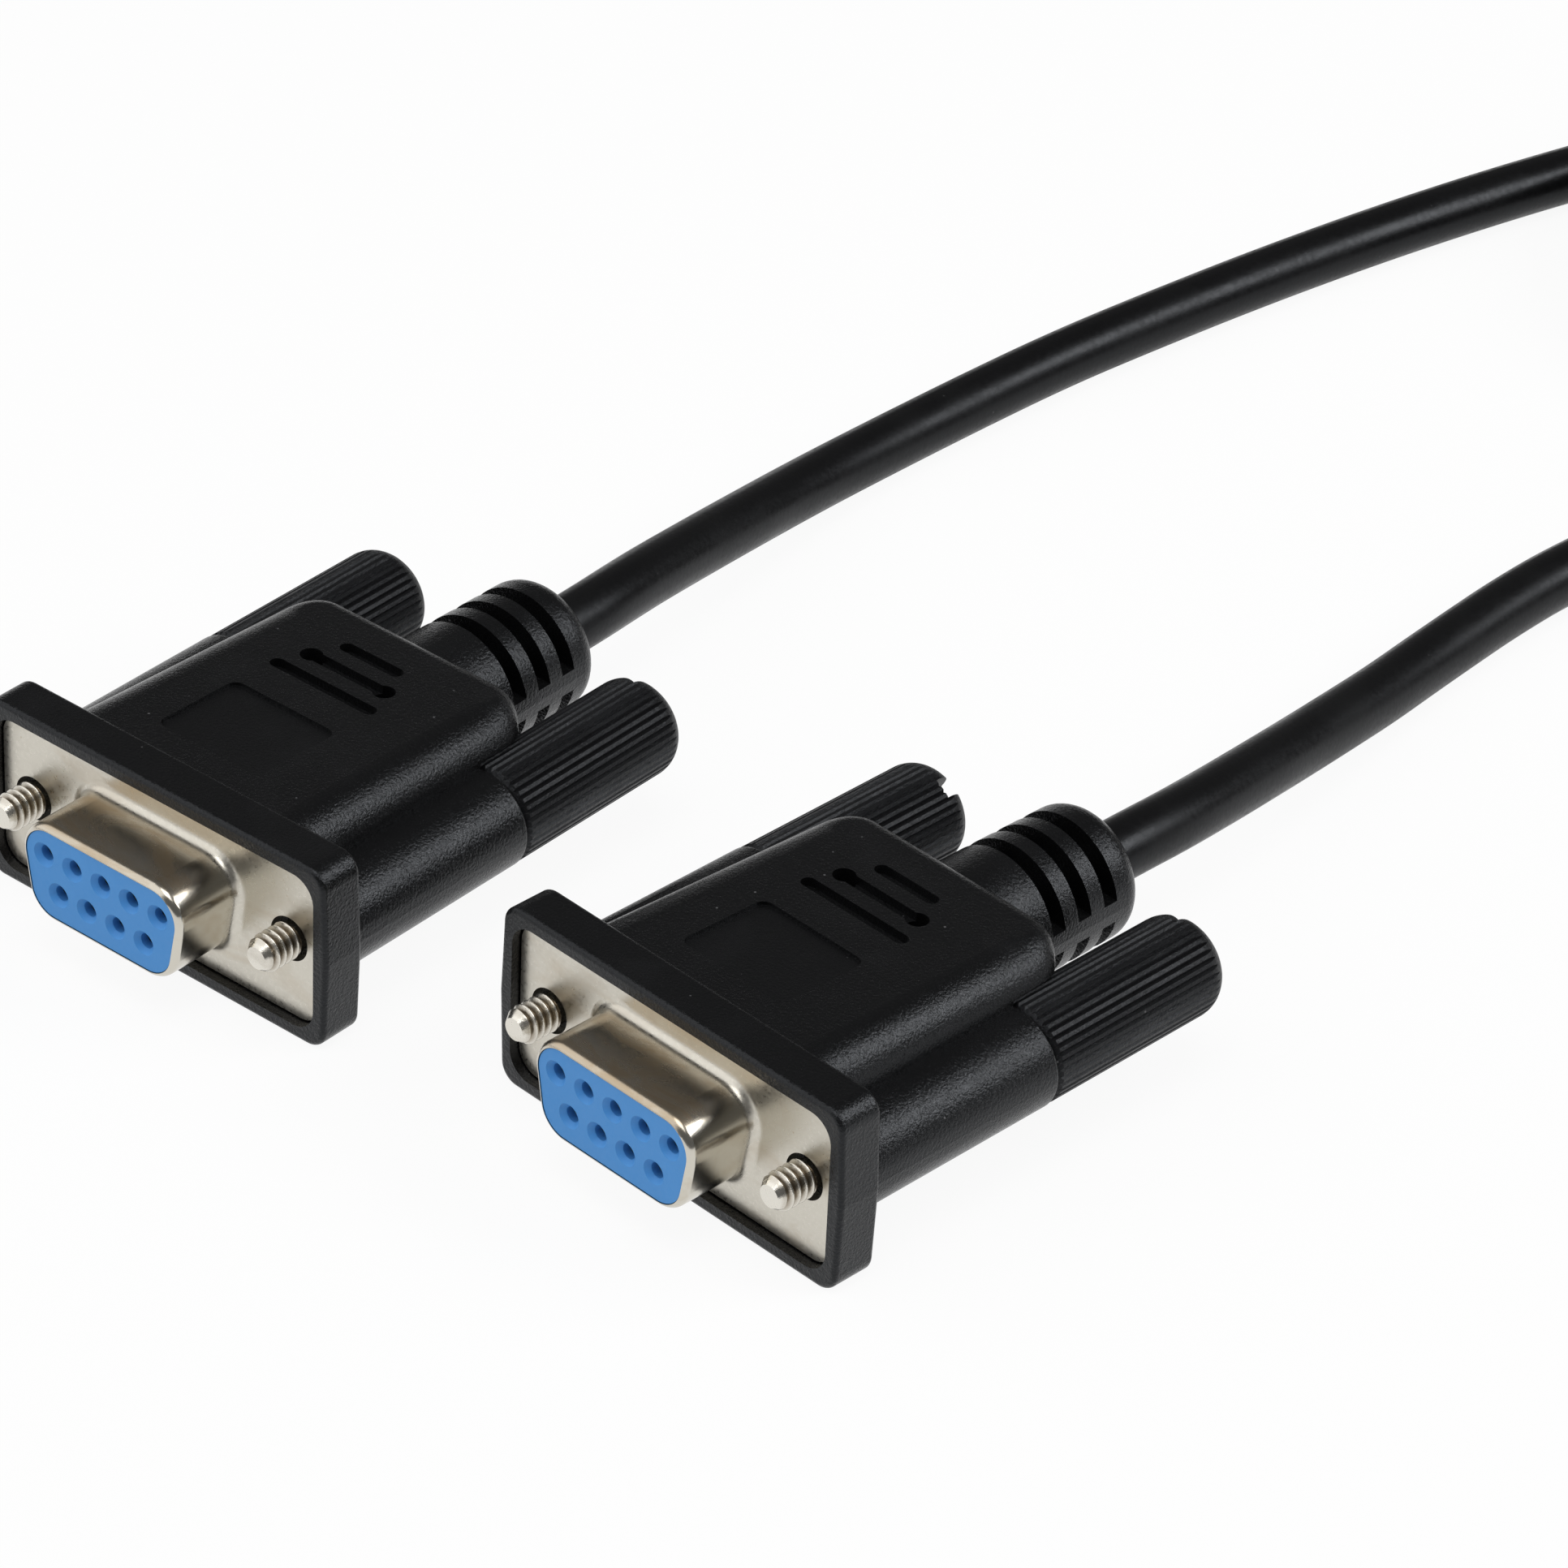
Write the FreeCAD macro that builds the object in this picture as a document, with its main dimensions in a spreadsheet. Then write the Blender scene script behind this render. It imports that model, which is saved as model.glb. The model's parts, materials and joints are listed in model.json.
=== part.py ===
import FreeCAD, Part
import math
import os
import re

import Sketcher

# Null modem cable: two moulded DE-9 sockets with thumbscrews, lying side by side, and the cable between them.
# Millimetres. The origin is on the table, under the middle of socket B's metal plate. X runs along that plate,
# Y from the mating face towards the cable, and Z is up. Each end is drawn in a frame of its own, with X along the
# plate, Y backwards from the plate's front plane and Z up from the socket's axis, and is then put in its place.

# Dimensions: name, value, what it is. A value in quotation marks follows from other dimensions.
SIZES = [
    ("flange_width", "plate_width + 2 * (plate_gap + flange_side)", "moulded flange, at its parting line"),
    ("flange_height", "plate_height + 2 * (plate_gap + flange_level)", "moulded flange, top to bottom"),
    ("flange_side", 1.225, "flange's rim beside the plate"),
    ("flange_level", 1.105, "flange's rim above and below the plate"),
    ("flange_draft", 0.3, "how far each side of the flange leans in, top and bottom"),
    ("flange_corner", 1.6, "corner radius of the flange"),
    ("flange_edge", 0.4, "rounding of the flange's edges"),
    ("flange_back", 2.95, "rear plane of the flange"),
    ("rim_depth", 0.8, "flange's rim in front of the plate"),
    ("plate_width", "screw_spacing + 2 * plate_ear", "steel plate of the socket"),
    ("plate_height", "collar_height + 2 * plate_level", "steel plate of the socket"),
    ("plate_ear", 2.91, "plate beyond the jackscrews' axes"),
    ("plate_level", 0.925, "plate beyond the rear collar, above and below"),
    ("plate_corner", 1.8, "corner radius of the plate"),
    ("plate_thickness", 0.5, "each of the two drawn plates"),
    ("plate_hole", 3.5, "hole for the jackscrew in the plates"),
    ("plate_gap", 0.12, "plate to the rim round it"),
    ("screw_spacing", "shell_width + 2 * screw_side", "between the two jackscrews"),
    ("screw_side", 4.33, "from the D's side to the jackscrew's axis"),
    ("shell_width", "4 * contact_pitch + 2 * contact_side", "D collar, outside, along its long side"),
    ("shell_height", "row_spacing + 2 * contact_level", "D collar, outside"),
    ("shell_depth", 6.0, "D collar in front of the plate"),
    ("shell_corner", 2.6, "outside corner radius of the D"),
    ("shell_slant", 10.0, "lean of the D's short sides, degrees"),
    ("shell_wall", 0.4, "steel of the collars"),
    ("shell_lip", 0.6, "rounding of the D's front edge"),
    ("shell_root", 0.8, "bend from the plate into the D"),
    ("collar_width", "shell_width + 2 * collar_side", "rear collar, outside, along its long side"),
    ("collar_height", "shell_height + 2 * collar_level", "rear collar, outside"),
    ("collar_side", 1.435, "rear collar beyond the D, on each side"),
    ("collar_level", 1.4, "rear collar beyond the D, above and below"),
    ("collar_corner", 2.8, "outside corner radius of the rear collar"),
    ("collar_depth", 3.8, "rear collar behind the plates"),
    ("fit_gap", 0.05, "loose fit of the pieces in the socket"),
    ("face_recess", 0.1, "insulator's face behind the D's front edge"),
    ("base_depth", 2.1, "front insulator's base behind the front plate"),
    ("contact_pitch", 2.77, "between contacts of a row"),
    ("row_spacing", 2.84, "between the two rows"),
    ("contact_side", 2.625, "from the row's last contact to the D's side"),
    ("contact_level", 2.53, "from a row of contacts to the D's long side"),
    ("opening_radius", 0.6, "hole in the insulator's face"),
    ("opening_flare", 0.37, "countersink of that hole"),
    ("opening_depth", 1.0, "web of insulator in front of a contact"),
    ("socket_radius", 0.85, "contact, outside"),
    ("socket_bore", 0.52, "contact's bore for the pin"),
    ("socket_bore_depth", 5.0, "depth of that bore"),
    ("slit_width", 0.25, "slit between the contact's two tines"),
    ("slit_depth", 3.2, "length of that slit"),
    ("shoulder_radius", 1.1, "contact's collar between the insulators"),
    ("shoulder_depth", 0.6, "length of that collar"),
    ("cup_end", 8.2, "rear end of the solder cups"),
    ("cup_bore", 0.6, "bore of the solder cup"),
    ("cup_depth", 2.4, "depth of the solder cup"),
    ("cup_scoop", 1.6, "length of the cup's open side"),
    ("hood_front_width", "screw_spacing - 2 * hood_front_inset", "hood behind the flange"),
    ("hood_front_height", "flange_height - 2 * hood_step", "hood behind the flange"),
    ("hood_rear_width", "screw_spacing - 2 * hood_rear_inset", "hood at its rear face"),
    ("hood_rear_height", "hood_front_height - 2 * hood_drop", "hood at its rear face"),
    ("hood_front_inset", 0.395, "from the jackscrew's axis to the hood's side, behind the flange"),
    ("hood_rear_inset", 0.895, "from the jackscrew's axis to the hood's side, at its rear face"),
    ("hood_step", 0.2, "step from the flange down to the hood"),
    ("hood_drop", 0.9, "how far the hood's top falls to its rear face"),
    ("hood_corner", 3.2, "radius of the hood's long edges"),
    ("hood_rear_edge", 1.3, "radius of the hood's rear edges"),
    ("hood_rear_corner", 3.9, "radius of the hood's rear corners, seen from above"),
    ("hood_end", 27.0, "rear face of the hood"),
    ("barrel_radius", 3.9, "tubes along the hood's sides"),
    ("barrel_end", "hood_end - knob_cover", "rear end of those tubes"),
    ("knob_cover", 6.4, "how far the hood reaches past the front of the knobs"),
    ("barrel_edge", 0.3, "rounding of their rear edges"),
    ("scoop_radius", "knob_radius + knob_room", "hollow in the hood's side for a knob"),
    ("knob_room", 0.4, "room round a knob in that hollow"),
    ("label_width", 9.9, "shallow recess on the hood"),
    ("label_length", 8.05, "shallow recess on the hood"),
    ("label_start", "flange_back + label_lead", "front edge of the recess"),
    ("label_lead", 2.45, "from the flange to the recess"),
    ("label_depth", 0.25, "depth of the recess"),
    ("label_corner", 0.8, "corner radius of the recess"),
    ("grip_first", "hood_end - grip_lead", "front grip slot"),
    ("grip_lead", 9.7, "from the front slot to the hood's rear face"),
    ("grip_pitch", 2.55, "between grip slots"),
    ("grip_width", 1.15, "width of a grip slot"),
    ("grip_depth", 0.7, "depth of a grip slot"),
    ("grip_front_length", 10.1, "front slot, end to end"),
    ("grip_middle_length", 7.1, "middle slot, between its pin holes' axes"),
    ("grip_rear_length", 5.9, "rear slot, end to end"),
    ("pin_radius", 0.85, "holes at the ends of the middle slot"),
    ("pin_depth", 1.8, "depth of those holes"),
    ("marks_across", -0.55, "middle of the recess and the slots, across the hood"),
    ("relief_front_radius", 5.42, "strain relief at the hood"),
    ("relief_rear_radius", 5.2, "strain relief at its end"),
    ("relief_end", "relief_slot_first + 2 * relief_slot_pitch + relief_tail", "rear end of the strain relief"),
    ("relief_round", 1.8, "rounding of that end"),
    ("relief_root", 2.0, "relief's run inside the hood's rear face"),
    ("relief_core", 3.3, "core left inside the relief's slots"),
    ("relief_rib", 1.8, "height of the ribs between upper and lower slots"),
    ("relief_slot", 1.3, "width of a slot in the relief"),
    ("relief_slot_first", "hood_end + relief_lead", "middle of the first slot"),
    ("relief_slot_pitch", 2.65, "between slots"),
    ("relief_lead", 5.1, "from the hood's rear face to the first slot"),
    ("relief_tail", 3.6, "from the last slot to the relief's rear end"),
    ("mould_front_width", "collar_width - 2 * shell_wall", "inner mould at the rear collar"),
    ("mould_front_height", 9.6, "inner mould at the rear collar"),
    ("mould_rear_width", 11.0, "inner mould at its rear end"),
    ("mould_rear_height", 8.0, "inner mould at its rear end"),
    ("mould_corner", 1.2, "corner radius of the inner mould"),
    ("mould_end", "hood_end - mould_cover", "rear end of the inner mould"),
    ("mould_cover", 7.5, "plastic of the hood behind the inner mould"),
    ("knob_radius", 3.85, "thumbscrew knob"),
    ("knob_gap", 0.15, "knob to the barrel's end"),
    ("knob_length", 17.5, "thumbscrew knob"),
    ("knob_round", 2.2, "rounding of the knob's rear end"),
    ("knob_edge", 0.3, "chamfer of the knob's front edge"),
    ("flute_depth", 0.2, "grooves along the knob"),
    ("flute_width", 0.42, "grooves along the knob"),
    ("slot_width", 1.5, "screwdriver slot"),
    ("slot_depth", 2.0, "screwdriver slot"),
    ("thread_radius", 1.42, "4-40 UNC thread, outside"),
    ("thread_point", 3.3, "screw's tip in front of the plate"),
    ("thread_chamfer", 0.55, "chamfer of the tip"),
    ("thread_start", 0.45, "rear end of the thread, in front of the plate"),
    ("shank_radius", 1.2, "plain shank behind the thread"),
    ("running_gap", 0.05, "shank in the hood's bore"),
    ("insert_radius", 1.6, "screw's head inside the knob"),
    ("insert_depth", 10.0, "length of that head"),
    ("insert_gap", 0.01, "moulded-in head to its knob"),
    ("cable_radius", 2.35, "jacketed cable"),
    ("jacket_start", "mould_end - jacket_hold", "where the jacket ends inside the hood"),
    ("jacket_hold", 3.0, "how far the jacket reaches into the inner mould"),
    ("lead_straight", 4.0, "straight start of the cable behind the strain relief"),
    ("core_radius", 0.5, "insulated conductor"),
    ("core_ring", 1.25, "circle on which six conductors lie round the seventh"),
    ("link_radius", 0.25, "wire that links contacts 1 and 6"),
    ("link_back", 0.8, "link's bend behind the solder cups"),
    ("axis_height", "flange_height / 2", "socket's axis above the table"),
    ("place_a_x", -43.137, "socket A, across"),
    ("place_a_y", -8.912, "socket A, along"),
    ("turn_a", 5.323, "socket A's turn about the vertical, degrees"),
    ("place_b_x", 0.0, "socket B, across"),
    ("place_b_y", 0.0, "socket B, along"),
    ("turn_b", 0.0, "socket B's turn about the vertical, degrees"),
    ("slot_turn_a_left", 140.0, "screwdriver slot of A's left knob, degrees"),
    ("slot_turn_a_right", 104.0, "screwdriver slot of A's right knob, degrees"),
    ("slot_turn_b_left", 58.0, "screwdriver slot of B's left knob, degrees"),
    ("slot_turn_b_right", 105.0, "screwdriver slot of B's right knob, degrees"),
    ("coil_x", -12.86, "middle of the coiled cable, across"),
    ("coil_y", 164.34, "middle of the coiled cable, along"),
    ("coil_outside", 65.4, "coiled cable, across its outside"),
    ("coil_section", 9.4, "width and height of the coil's bundle"),
]
NAMES = {name for name, _, _ in SIZES}
ENDS = ("a", "b")
SIDES = {"left": -1, "right": 1}
FLUTES = 40
GRIPS = 3
RELIEF_SLOTS = 3

# Contacts, as looked at from the mating face: five above, numbered from the right, and four below
TOP_ROW = (1, 2, 3, 4, 5)
LOWER_ROW = (6, 7, 8, 9)
# Where each conductor lies in the cable: its step round the ring of six, or None for the one in the middle
RING_STEPS = {6: 0, 2: 1, 4: 2, 5: 3, 8: 4, 7: 5, 3: None}

# Cable routes, chosen by hand from each socket's exit outwards: the points behind the straight start
LEAD_A = [
    (-48.35, 40.7, 7.1), (-49.5, 45.2, 6.45), (-52.07, 55.79, 4.72), (-54.51, 67.02, 3.01),
    (-55.48, 77.01, 2.35), (-55.60, 86.28, 2.35), (-55.54, 95.54, 2.35), (-54.99, 104.47, 2.35),
    (-53.77, 118.42, 2.35), (-51.81, 133.29, 2.35), (-49.08, 148.04, 2.35), (-45.45, 162.59, 2.35),
    (-41.64, 173.97, 2.35),
]
LEAD_B = [
    (-0.3, 49.6, 7.08), (-1.21, 55.57, 6.23), (-2.25, 61.16, 5.33),
    (-3.42, 66.97, 4.33), (-4.55, 72.9, 3.45), (-5.51, 78.51, 2.78), (-6.45, 84.22, 2.42),
    (-7.05, 89.55, 2.35), (-7.55, 94.84, 2.35), (-7.85, 101.6, 2.35), (-7.3, 110.4, 2.35),
    (-5.1, 120.6, 2.6), (-0.9, 130.6, 4.1), (4.6, 138.9, 6.2), (8.6, 142.88, 7.05),
]
# Share of the shorter run that an arc of a route takes up on each side of its point
ARC_SHARE = 0.45


def formula(text):
    """Turns the names of sizes in a formula into cells of the sheet."""
    return re.sub(r"[a-z]\w*", lambda word: "Sizes." + word[0] if word[0] in NAMES else word[0], text)


def value(text):
    """Present value of a formula over the sizes."""
    return float(gauge.evalExpression(formula(text)))


def bind(thing, field, text):
    """Ties a property of an object to a formula over the sizes."""
    thing.setExpression(field, formula(text))


def make_sheet():
    """Spreadsheet with each dimension, its name and a note."""
    sheet = doc.addObject("Spreadsheet::Sheet", "Sizes")
    for row, (name, _, note) in enumerate(SIZES, start=1):
        sheet.set("A%d" % row, name)
        sheet.setAlias("B%d" % row, name)
        sheet.set("C%d" % row, note)
    for row, (_, size, _) in enumerate(SIZES, start=1):
        sheet.set("B%d" % row, "=%s" % size)


def new_body(label):
    """Empty body for one sub-part."""
    body = doc.addObject("PartDesign::Body", label)
    body.Label = label
    return body


def place(thing, end, across="0", up="0"):
    """Puts a sub-part in its end of the cable, moved across and up from the socket's axis."""
    bind(thing, "Placement.Base.x", "place_%s_x + cos(turn_%s) * (%s)" % (end, end, across))
    bind(thing, "Placement.Base.y", "place_%s_y + sin(turn_%s) * (%s)" % (end, end, across))
    bind(thing, "Placement.Base.z", "axis_height + (%s)" % up)
    thing.Placement.Rotation.Axis = FreeCAD.Vector(0, 0, 1)
    bind(thing, "Placement.Rotation.Angle", "turn_%s" % end)
    nodes.append(thing)


def sketch_on(body, name, plane):
    """Sketch attached to one of the body's own origin planes."""
    sketch = body.newObject("Sketcher::SketchObject", body.Name + "_" + name)
    support = next(item for item in body.Origin.OriginFeatures if item.Role == plane)
    sketch.AttachmentSupport = [(support, "")]
    sketch.MapMode = "FlatFace"
    return sketch


def front_sketch(body, name, depth, turn="0"):
    """Sketch that faces the mating side, at a depth behind the plate's front plane."""
    sketch = sketch_on(body, name, "XZ_Plane")
    sketch.AttachmentOffset = FreeCAD.Placement(FreeCAD.Vector(), FreeCAD.Rotation(FreeCAD.Vector(0, 0, 1), 1))
    bind(sketch, "AttachmentOffset.Base.z", "-(%s)" % depth)
    bind(sketch, "AttachmentOffset.Rotation.Angle", turn)
    return sketch


def fix_point(sketch, item, spot, across, up):
    """Ties one point of a sketch to two formulas, or to an axis where a formula is nought."""
    for kind, axis, text in (("DistanceX", -2, across), ("DistanceY", -1, up)):
        if text == "0":
            sketch.addConstraint(Sketcher.Constraint("PointOnObject", item, spot, axis))
        else:
            number = sketch.addConstraint(Sketcher.Constraint(kind, -1, 1, item, spot, value(text)))
            bind(sketch, "Constraints[%d]" % number, text)


def fix_radius(sketch, item, radius):
    """Ties the radius of a circle or arc to a formula."""
    number = sketch.addConstraint(Sketcher.Constraint("Radius", item, value(radius)))
    bind(sketch, "Constraints[%d]" % number, radius)


def outline(sketch, corners):
    """Closed outline through corners (across, up, radius), anticlockwise. A blank radius is a sharp corner."""
    points = [FreeCAD.Vector(value(across), value(up), 0) for across, up, _ in corners]
    radii = [value(radius) if radius else 0.0 for _, _, radius in corners]
    count = len(corners)
    entries, exits, middles = [], [], []
    for number, point in enumerate(points):
        back = (points[number - 1] - point).normalize()
        ahead = (points[(number + 1) % count] - point).normalize()
        half = back.getAngle(ahead) / 2
        reach = radii[number] / math.tan(half)
        entries.append(point + back * reach)
        exits.append(point + ahead * reach)
        inward = (back + ahead).normalize()
        middles.append(point + inward * (radii[number] / math.sin(half) - radii[number]))
    lines = [sketch.addGeometry(Part.LineSegment(exits[number], entries[(number + 1) % count]), False)
             for number in range(count)]
    for number, (across, up, radius) in enumerate(corners):
        before, after = lines[number - 1], lines[number]
        corner = sketch.addGeometry(Part.Point(points[number]), True)
        fix_point(sketch, corner, 1, across, up)
        if radius:
            arc = sketch.addGeometry(Part.Arc(entries[number], middles[number], exits[number]), False)
            sketch.addConstraint([
                Sketcher.Constraint("PointOnObject", corner, 1, before),
                Sketcher.Constraint("PointOnObject", corner, 1, after),
                Sketcher.Constraint("Tangent", before, 2, arc, 1),
                Sketcher.Constraint("Tangent", arc, 2, after, 1),
            ])
            fix_radius(sketch, arc, radius)
        else:
            sketch.addConstraint([
                Sketcher.Constraint("Coincident", before, 2, corner, 1),
                Sketcher.Constraint("Coincident", after, 1, corner, 1),
            ])


def rectangle(sketch, half_width, low, high, radius=""):
    """Rectangle that is symmetrical about the upright axis."""
    outline(sketch, [
        (half_width, low, radius),
        (half_width, high, radius),
        ("-(%s)" % half_width, high, radius),
        ("-(%s)" % half_width, low, radius),
    ])


def d_outline(sketch, width, height, corner, inset="0"):
    """D-shaped outline with its long side up, set in from the outside of the collar."""
    upper = "%s / 2 - (%s) * (tan(shell_slant) + 1 / cos(shell_slant))" % (width, inset)
    lower = "%s / 2 - (%s - (%s)) * tan(shell_slant) - (%s) / cos(shell_slant)" % (width, height, inset, inset)
    half_height = "%s / 2 - (%s)" % (height, inset)
    radius = "%s - (%s)" % (corner, inset)
    outline(sketch, [
        (lower, "-(%s)" % half_height, radius),
        (upper, half_height, radius),
        ("-(%s)" % upper, half_height, radius),
        ("-(%s)" % lower, "-(%s)" % half_height, radius),
    ])


def circles(sketch, spots, radius):
    """One circle at each spot (across, up)."""
    for across, up in spots:
        centre = FreeCAD.Vector(value(across), value(up), 0)
        item = sketch.addGeometry(Part.Circle(centre, FreeCAD.Vector(0, 0, 1), value(radius)), False)
        if across == "0" and up == "0":
            sketch.addConstraint(Sketcher.Constraint("Coincident", item, 3, -1, 1))
        else:
            fix_point(sketch, item, 3, across, up)
        fix_radius(sketch, item, radius)


def obround(sketch, half_length, level, radius):
    """Slot with round ends, along the sketch's first axis."""
    reach, up, round_end = value(half_length), value(level), value(radius)
    normal = FreeCAD.Vector(0, 0, 1)
    right = sketch.addGeometry(Part.ArcOfCircle(
        Part.Circle(FreeCAD.Vector(reach, up, 0), normal, round_end), -math.pi / 2, math.pi / 2), False)
    left = sketch.addGeometry(Part.ArcOfCircle(
        Part.Circle(FreeCAD.Vector(-reach, up, 0), normal, round_end), math.pi / 2, 3 * math.pi / 2), False)
    top = sketch.addGeometry(Part.LineSegment(
        FreeCAD.Vector(reach, up + round_end, 0), FreeCAD.Vector(-reach, up + round_end, 0)), False)
    bottom = sketch.addGeometry(Part.LineSegment(
        FreeCAD.Vector(-reach, up - round_end, 0), FreeCAD.Vector(reach, up - round_end, 0)), False)
    sketch.addConstraint([
        Sketcher.Constraint("Tangent", right, 2, top, 1),
        Sketcher.Constraint("Tangent", top, 2, left, 1),
        Sketcher.Constraint("Tangent", left, 2, bottom, 1),
        Sketcher.Constraint("Tangent", bottom, 2, right, 1),
    ])
    fix_point(sketch, right, 3, half_length, level)
    number = sketch.addConstraint(Sketcher.Constraint("DistanceX", -1, 1, left, 3, -reach))
    bind(sketch, "Constraints[%d]" % number, "-(%s)" % half_length)
    fix_radius(sketch, right, radius)


def half_ring(sketch, upward, inner, outer, level):
    """Half of a ring above (upward 1) or below (-1) the axis, cut off level at a height from it."""
    normal = FreeCAD.Vector(0, 0, 1)
    arcs = []
    for radius in (inner, outer):
        lean = math.asin(value(level) / value(radius))
        first = lean if upward > 0 else math.pi + lean
        last = math.pi - lean if upward > 0 else 2 * math.pi - lean
        circle = Part.Circle(FreeCAD.Vector(), normal, value(radius))
        arc = sketch.addGeometry(Part.ArcOfCircle(circle, first, last), False)
        sketch.addConstraint(Sketcher.Constraint("Coincident", arc, 3, -1, 1))
        fix_radius(sketch, arc, radius)
        arcs.append(arc)
    for spot in (1, 2):
        ends = [sketch.getPoint(arc, spot) for arc in arcs]
        line = sketch.addGeometry(Part.LineSegment(*ends), False)
        sketch.addConstraint([
            Sketcher.Constraint("Coincident", line, 1, arcs[0], spot),
            Sketcher.Constraint("Coincident", line, 2, arcs[1], spot),
            Sketcher.Constraint("Horizontal", line),
        ])
        number = sketch.addConstraint(
            Sketcher.Constraint("DistanceY", -1, 1, line, 1, upward * value(level)))
        bind(sketch, "Constraints[%d]" % number, "%d * (%s)" % (upward, level))


def feature(body, kind, name, sketch):
    """Feature of a body that uses one sketch."""
    item = body.newObject("PartDesign::" + kind, body.Name + "_" + name)
    item.Profile = sketch
    item.Refine = False
    return item


def pad(body, name, sketch, length, backwards=True, both_ways=False):
    """Adds material from a sketch, backwards, forwards or half each way."""
    item = feature(body, "Pad", name, sketch)
    bind(item, "Length", length)
    item.Reversed = backwards
    item.Midplane = both_ways
    doc.recompute()
    return item


def pocket(body, name, sketch, length, flip=False, both_ways=False):
    """Cuts material from a sketch, backwards unless flipped or half each way. Something has to go."""
    before = body.Shape.Volume
    item = feature(body, "Pocket", name, sketch)
    bind(item, "Length", length)
    item.Reversed = flip
    item.Midplane = both_ways
    doc.recompute()
    if not body.Shape.Volume < before:
        raise ValueError(item.Label + " cuts nothing")
    return item


def revolve(body, name, sketch, kind="Revolution"):
    """Turned form about the sketch's upright axis."""
    item = feature(body, kind, name, sketch)
    item.ReferenceAxis = (sketch, ["V_Axis"])
    item.Angle = 360
    doc.recompute()
    return item


def loft(body, name, kind, first, last):
    """Form that runs straight from one sketch to another."""
    item = feature(body, kind, name, first)
    item.Sections = [last]
    item.Ruled = True
    doc.recompute()
    return item


def edges_where(shape, test):
    """Names of the edges whose both ends and middle pass a test of their points."""
    names = []
    for number, edge in enumerate(shape.Edges, start=1):
        middle = edge.valueAt((edge.FirstParameter + edge.LastParameter) / 2)
        if all(test(point) for point in [middle] + [vertex.Point for vertex in edge.Vertexes]):
            names.append("Edge%d" % number)
    return names


def at_depth(depth):
    """Test for points on the plane at a depth."""
    level = value(depth)
    return lambda point: abs(point.y - level) < 1e-4


def dress(body, kind, name, base, edges, size):
    """Fillet or chamfer on some edges of a feature."""
    item = body.newObject("PartDesign::" + kind, body.Name + "_" + name)
    item.Base = (base, edges)
    item.Refine = False
    bind(item, "Radius" if kind == "Fillet" else "Size", size)
    doc.recompute()
    return item


def screw_spots():
    """Where the two jackscrews go through."""
    return [("screw_spacing / 2", "0"), ("-screw_spacing / 2", "0")]


def contact_spot(number):
    """Place of a numbered contact, across and up from the socket's axis."""
    if number in TOP_ROW:
        return "%d * contact_pitch" % (2 - TOP_ROW.index(number)), "row_spacing / 2"
    return "%.1f * contact_pitch" % (1.5 - LOWER_ROW.index(number)), "-row_spacing / 2"


def contact_spots():
    """Places of all nine contacts."""
    spots = [contact_spot(number) for number in TOP_ROW + LOWER_ROW]
    return [("0" if across.startswith("0 ") else across, up) for across, up in spots]


# Planes behind the plate's front plane that several pieces share
PLATES_BACK = "2 * plate_thickness"
COLLAR_END = "2 * plate_thickness + collar_depth"
FACE = "face_recess - shell_depth"
SOCKET_START = "face_recess - shell_depth + opening_depth + fit_gap"
BASE_END = "plate_thickness + base_depth"
KNOB_START = "barrel_end + knob_gap"
BLOCK_START = "flange_back - 3 * flange_edge"
FRONT_INSET = "shell_wall + fit_gap"


def mould_sections(body):
    """The two sections of the inner mould, which the hood's cavity shares."""
    front = front_sketch(body, "mould_front", COLLAR_END)
    rectangle(front, "mould_front_width / 2", "-mould_front_height / 2", "mould_front_height / 2", "mould_corner")
    rear = front_sketch(body, "mould_rear", "mould_end")
    rectangle(rear, "mould_rear_width / 2", "-mould_rear_height / 2", "mould_rear_height / 2", "mould_corner")
    return front, rear


def hood_flange(body):
    """Drafted flange with rounded corners and edges."""
    sketch = front_sketch(body, "flange_outline", "-rim_depth")
    edge = "flange_width / 2 - flange_draft"
    top = "flange_height / 2"
    outline(sketch, [
        (edge, "-" + top, "flange_corner"),
        ("flange_width / 2", "0", ""),
        (edge, top, "flange_corner"),
        ("-(%s)" % edge, top, "flange_corner"),
        ("-flange_width / 2", "0", ""),
        ("-(%s)" % edge, "-" + top, "flange_corner"),
    ])
    flange = pad(body, "flange", sketch, "rim_depth + flange_back")
    faces = at_depth("-rim_depth"), at_depth("flange_back")
    edges = [name for face in faces for name in edges_where(flange.Shape, face)]
    dress(body, "Fillet", "flange_edges", flange, edges, "flange_edge")


def hood_block(body):
    """Block behind the flange: narrower and lower towards the rear, with round rear corners."""
    plan = sketch_on(body, "plan", "XY_Plane")
    outline(plan, [
        ("hood_front_width / 2", BLOCK_START, ""),
        ("hood_rear_width / 2", "hood_end", "hood_rear_corner"),
        ("-hood_rear_width / 2", "hood_end", "hood_rear_corner"),
        ("-hood_front_width / 2", BLOCK_START, ""),
    ])
    pad(body, "block", plan, "hood_front_height", both_ways=True)
    slopes = sketch_on(body, "slope_outline", "YZ_Plane")
    for sign in ("", "-"):
        outline(slopes, [
            (BLOCK_START, sign + "hood_front_height / 2", ""),
            ("hood_end", sign + "hood_rear_height / 2", ""),
            ("hood_end + 1", sign + "hood_rear_height / 2", ""),
            ("hood_end + 1", sign + "(hood_front_height / 2 + 1)", ""),
            (BLOCK_START, sign + "(hood_front_height / 2 + 1)", ""),
        ])
    pocket(body, "slopes", slopes, "hood_front_width + 1", both_ways=True)


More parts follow.
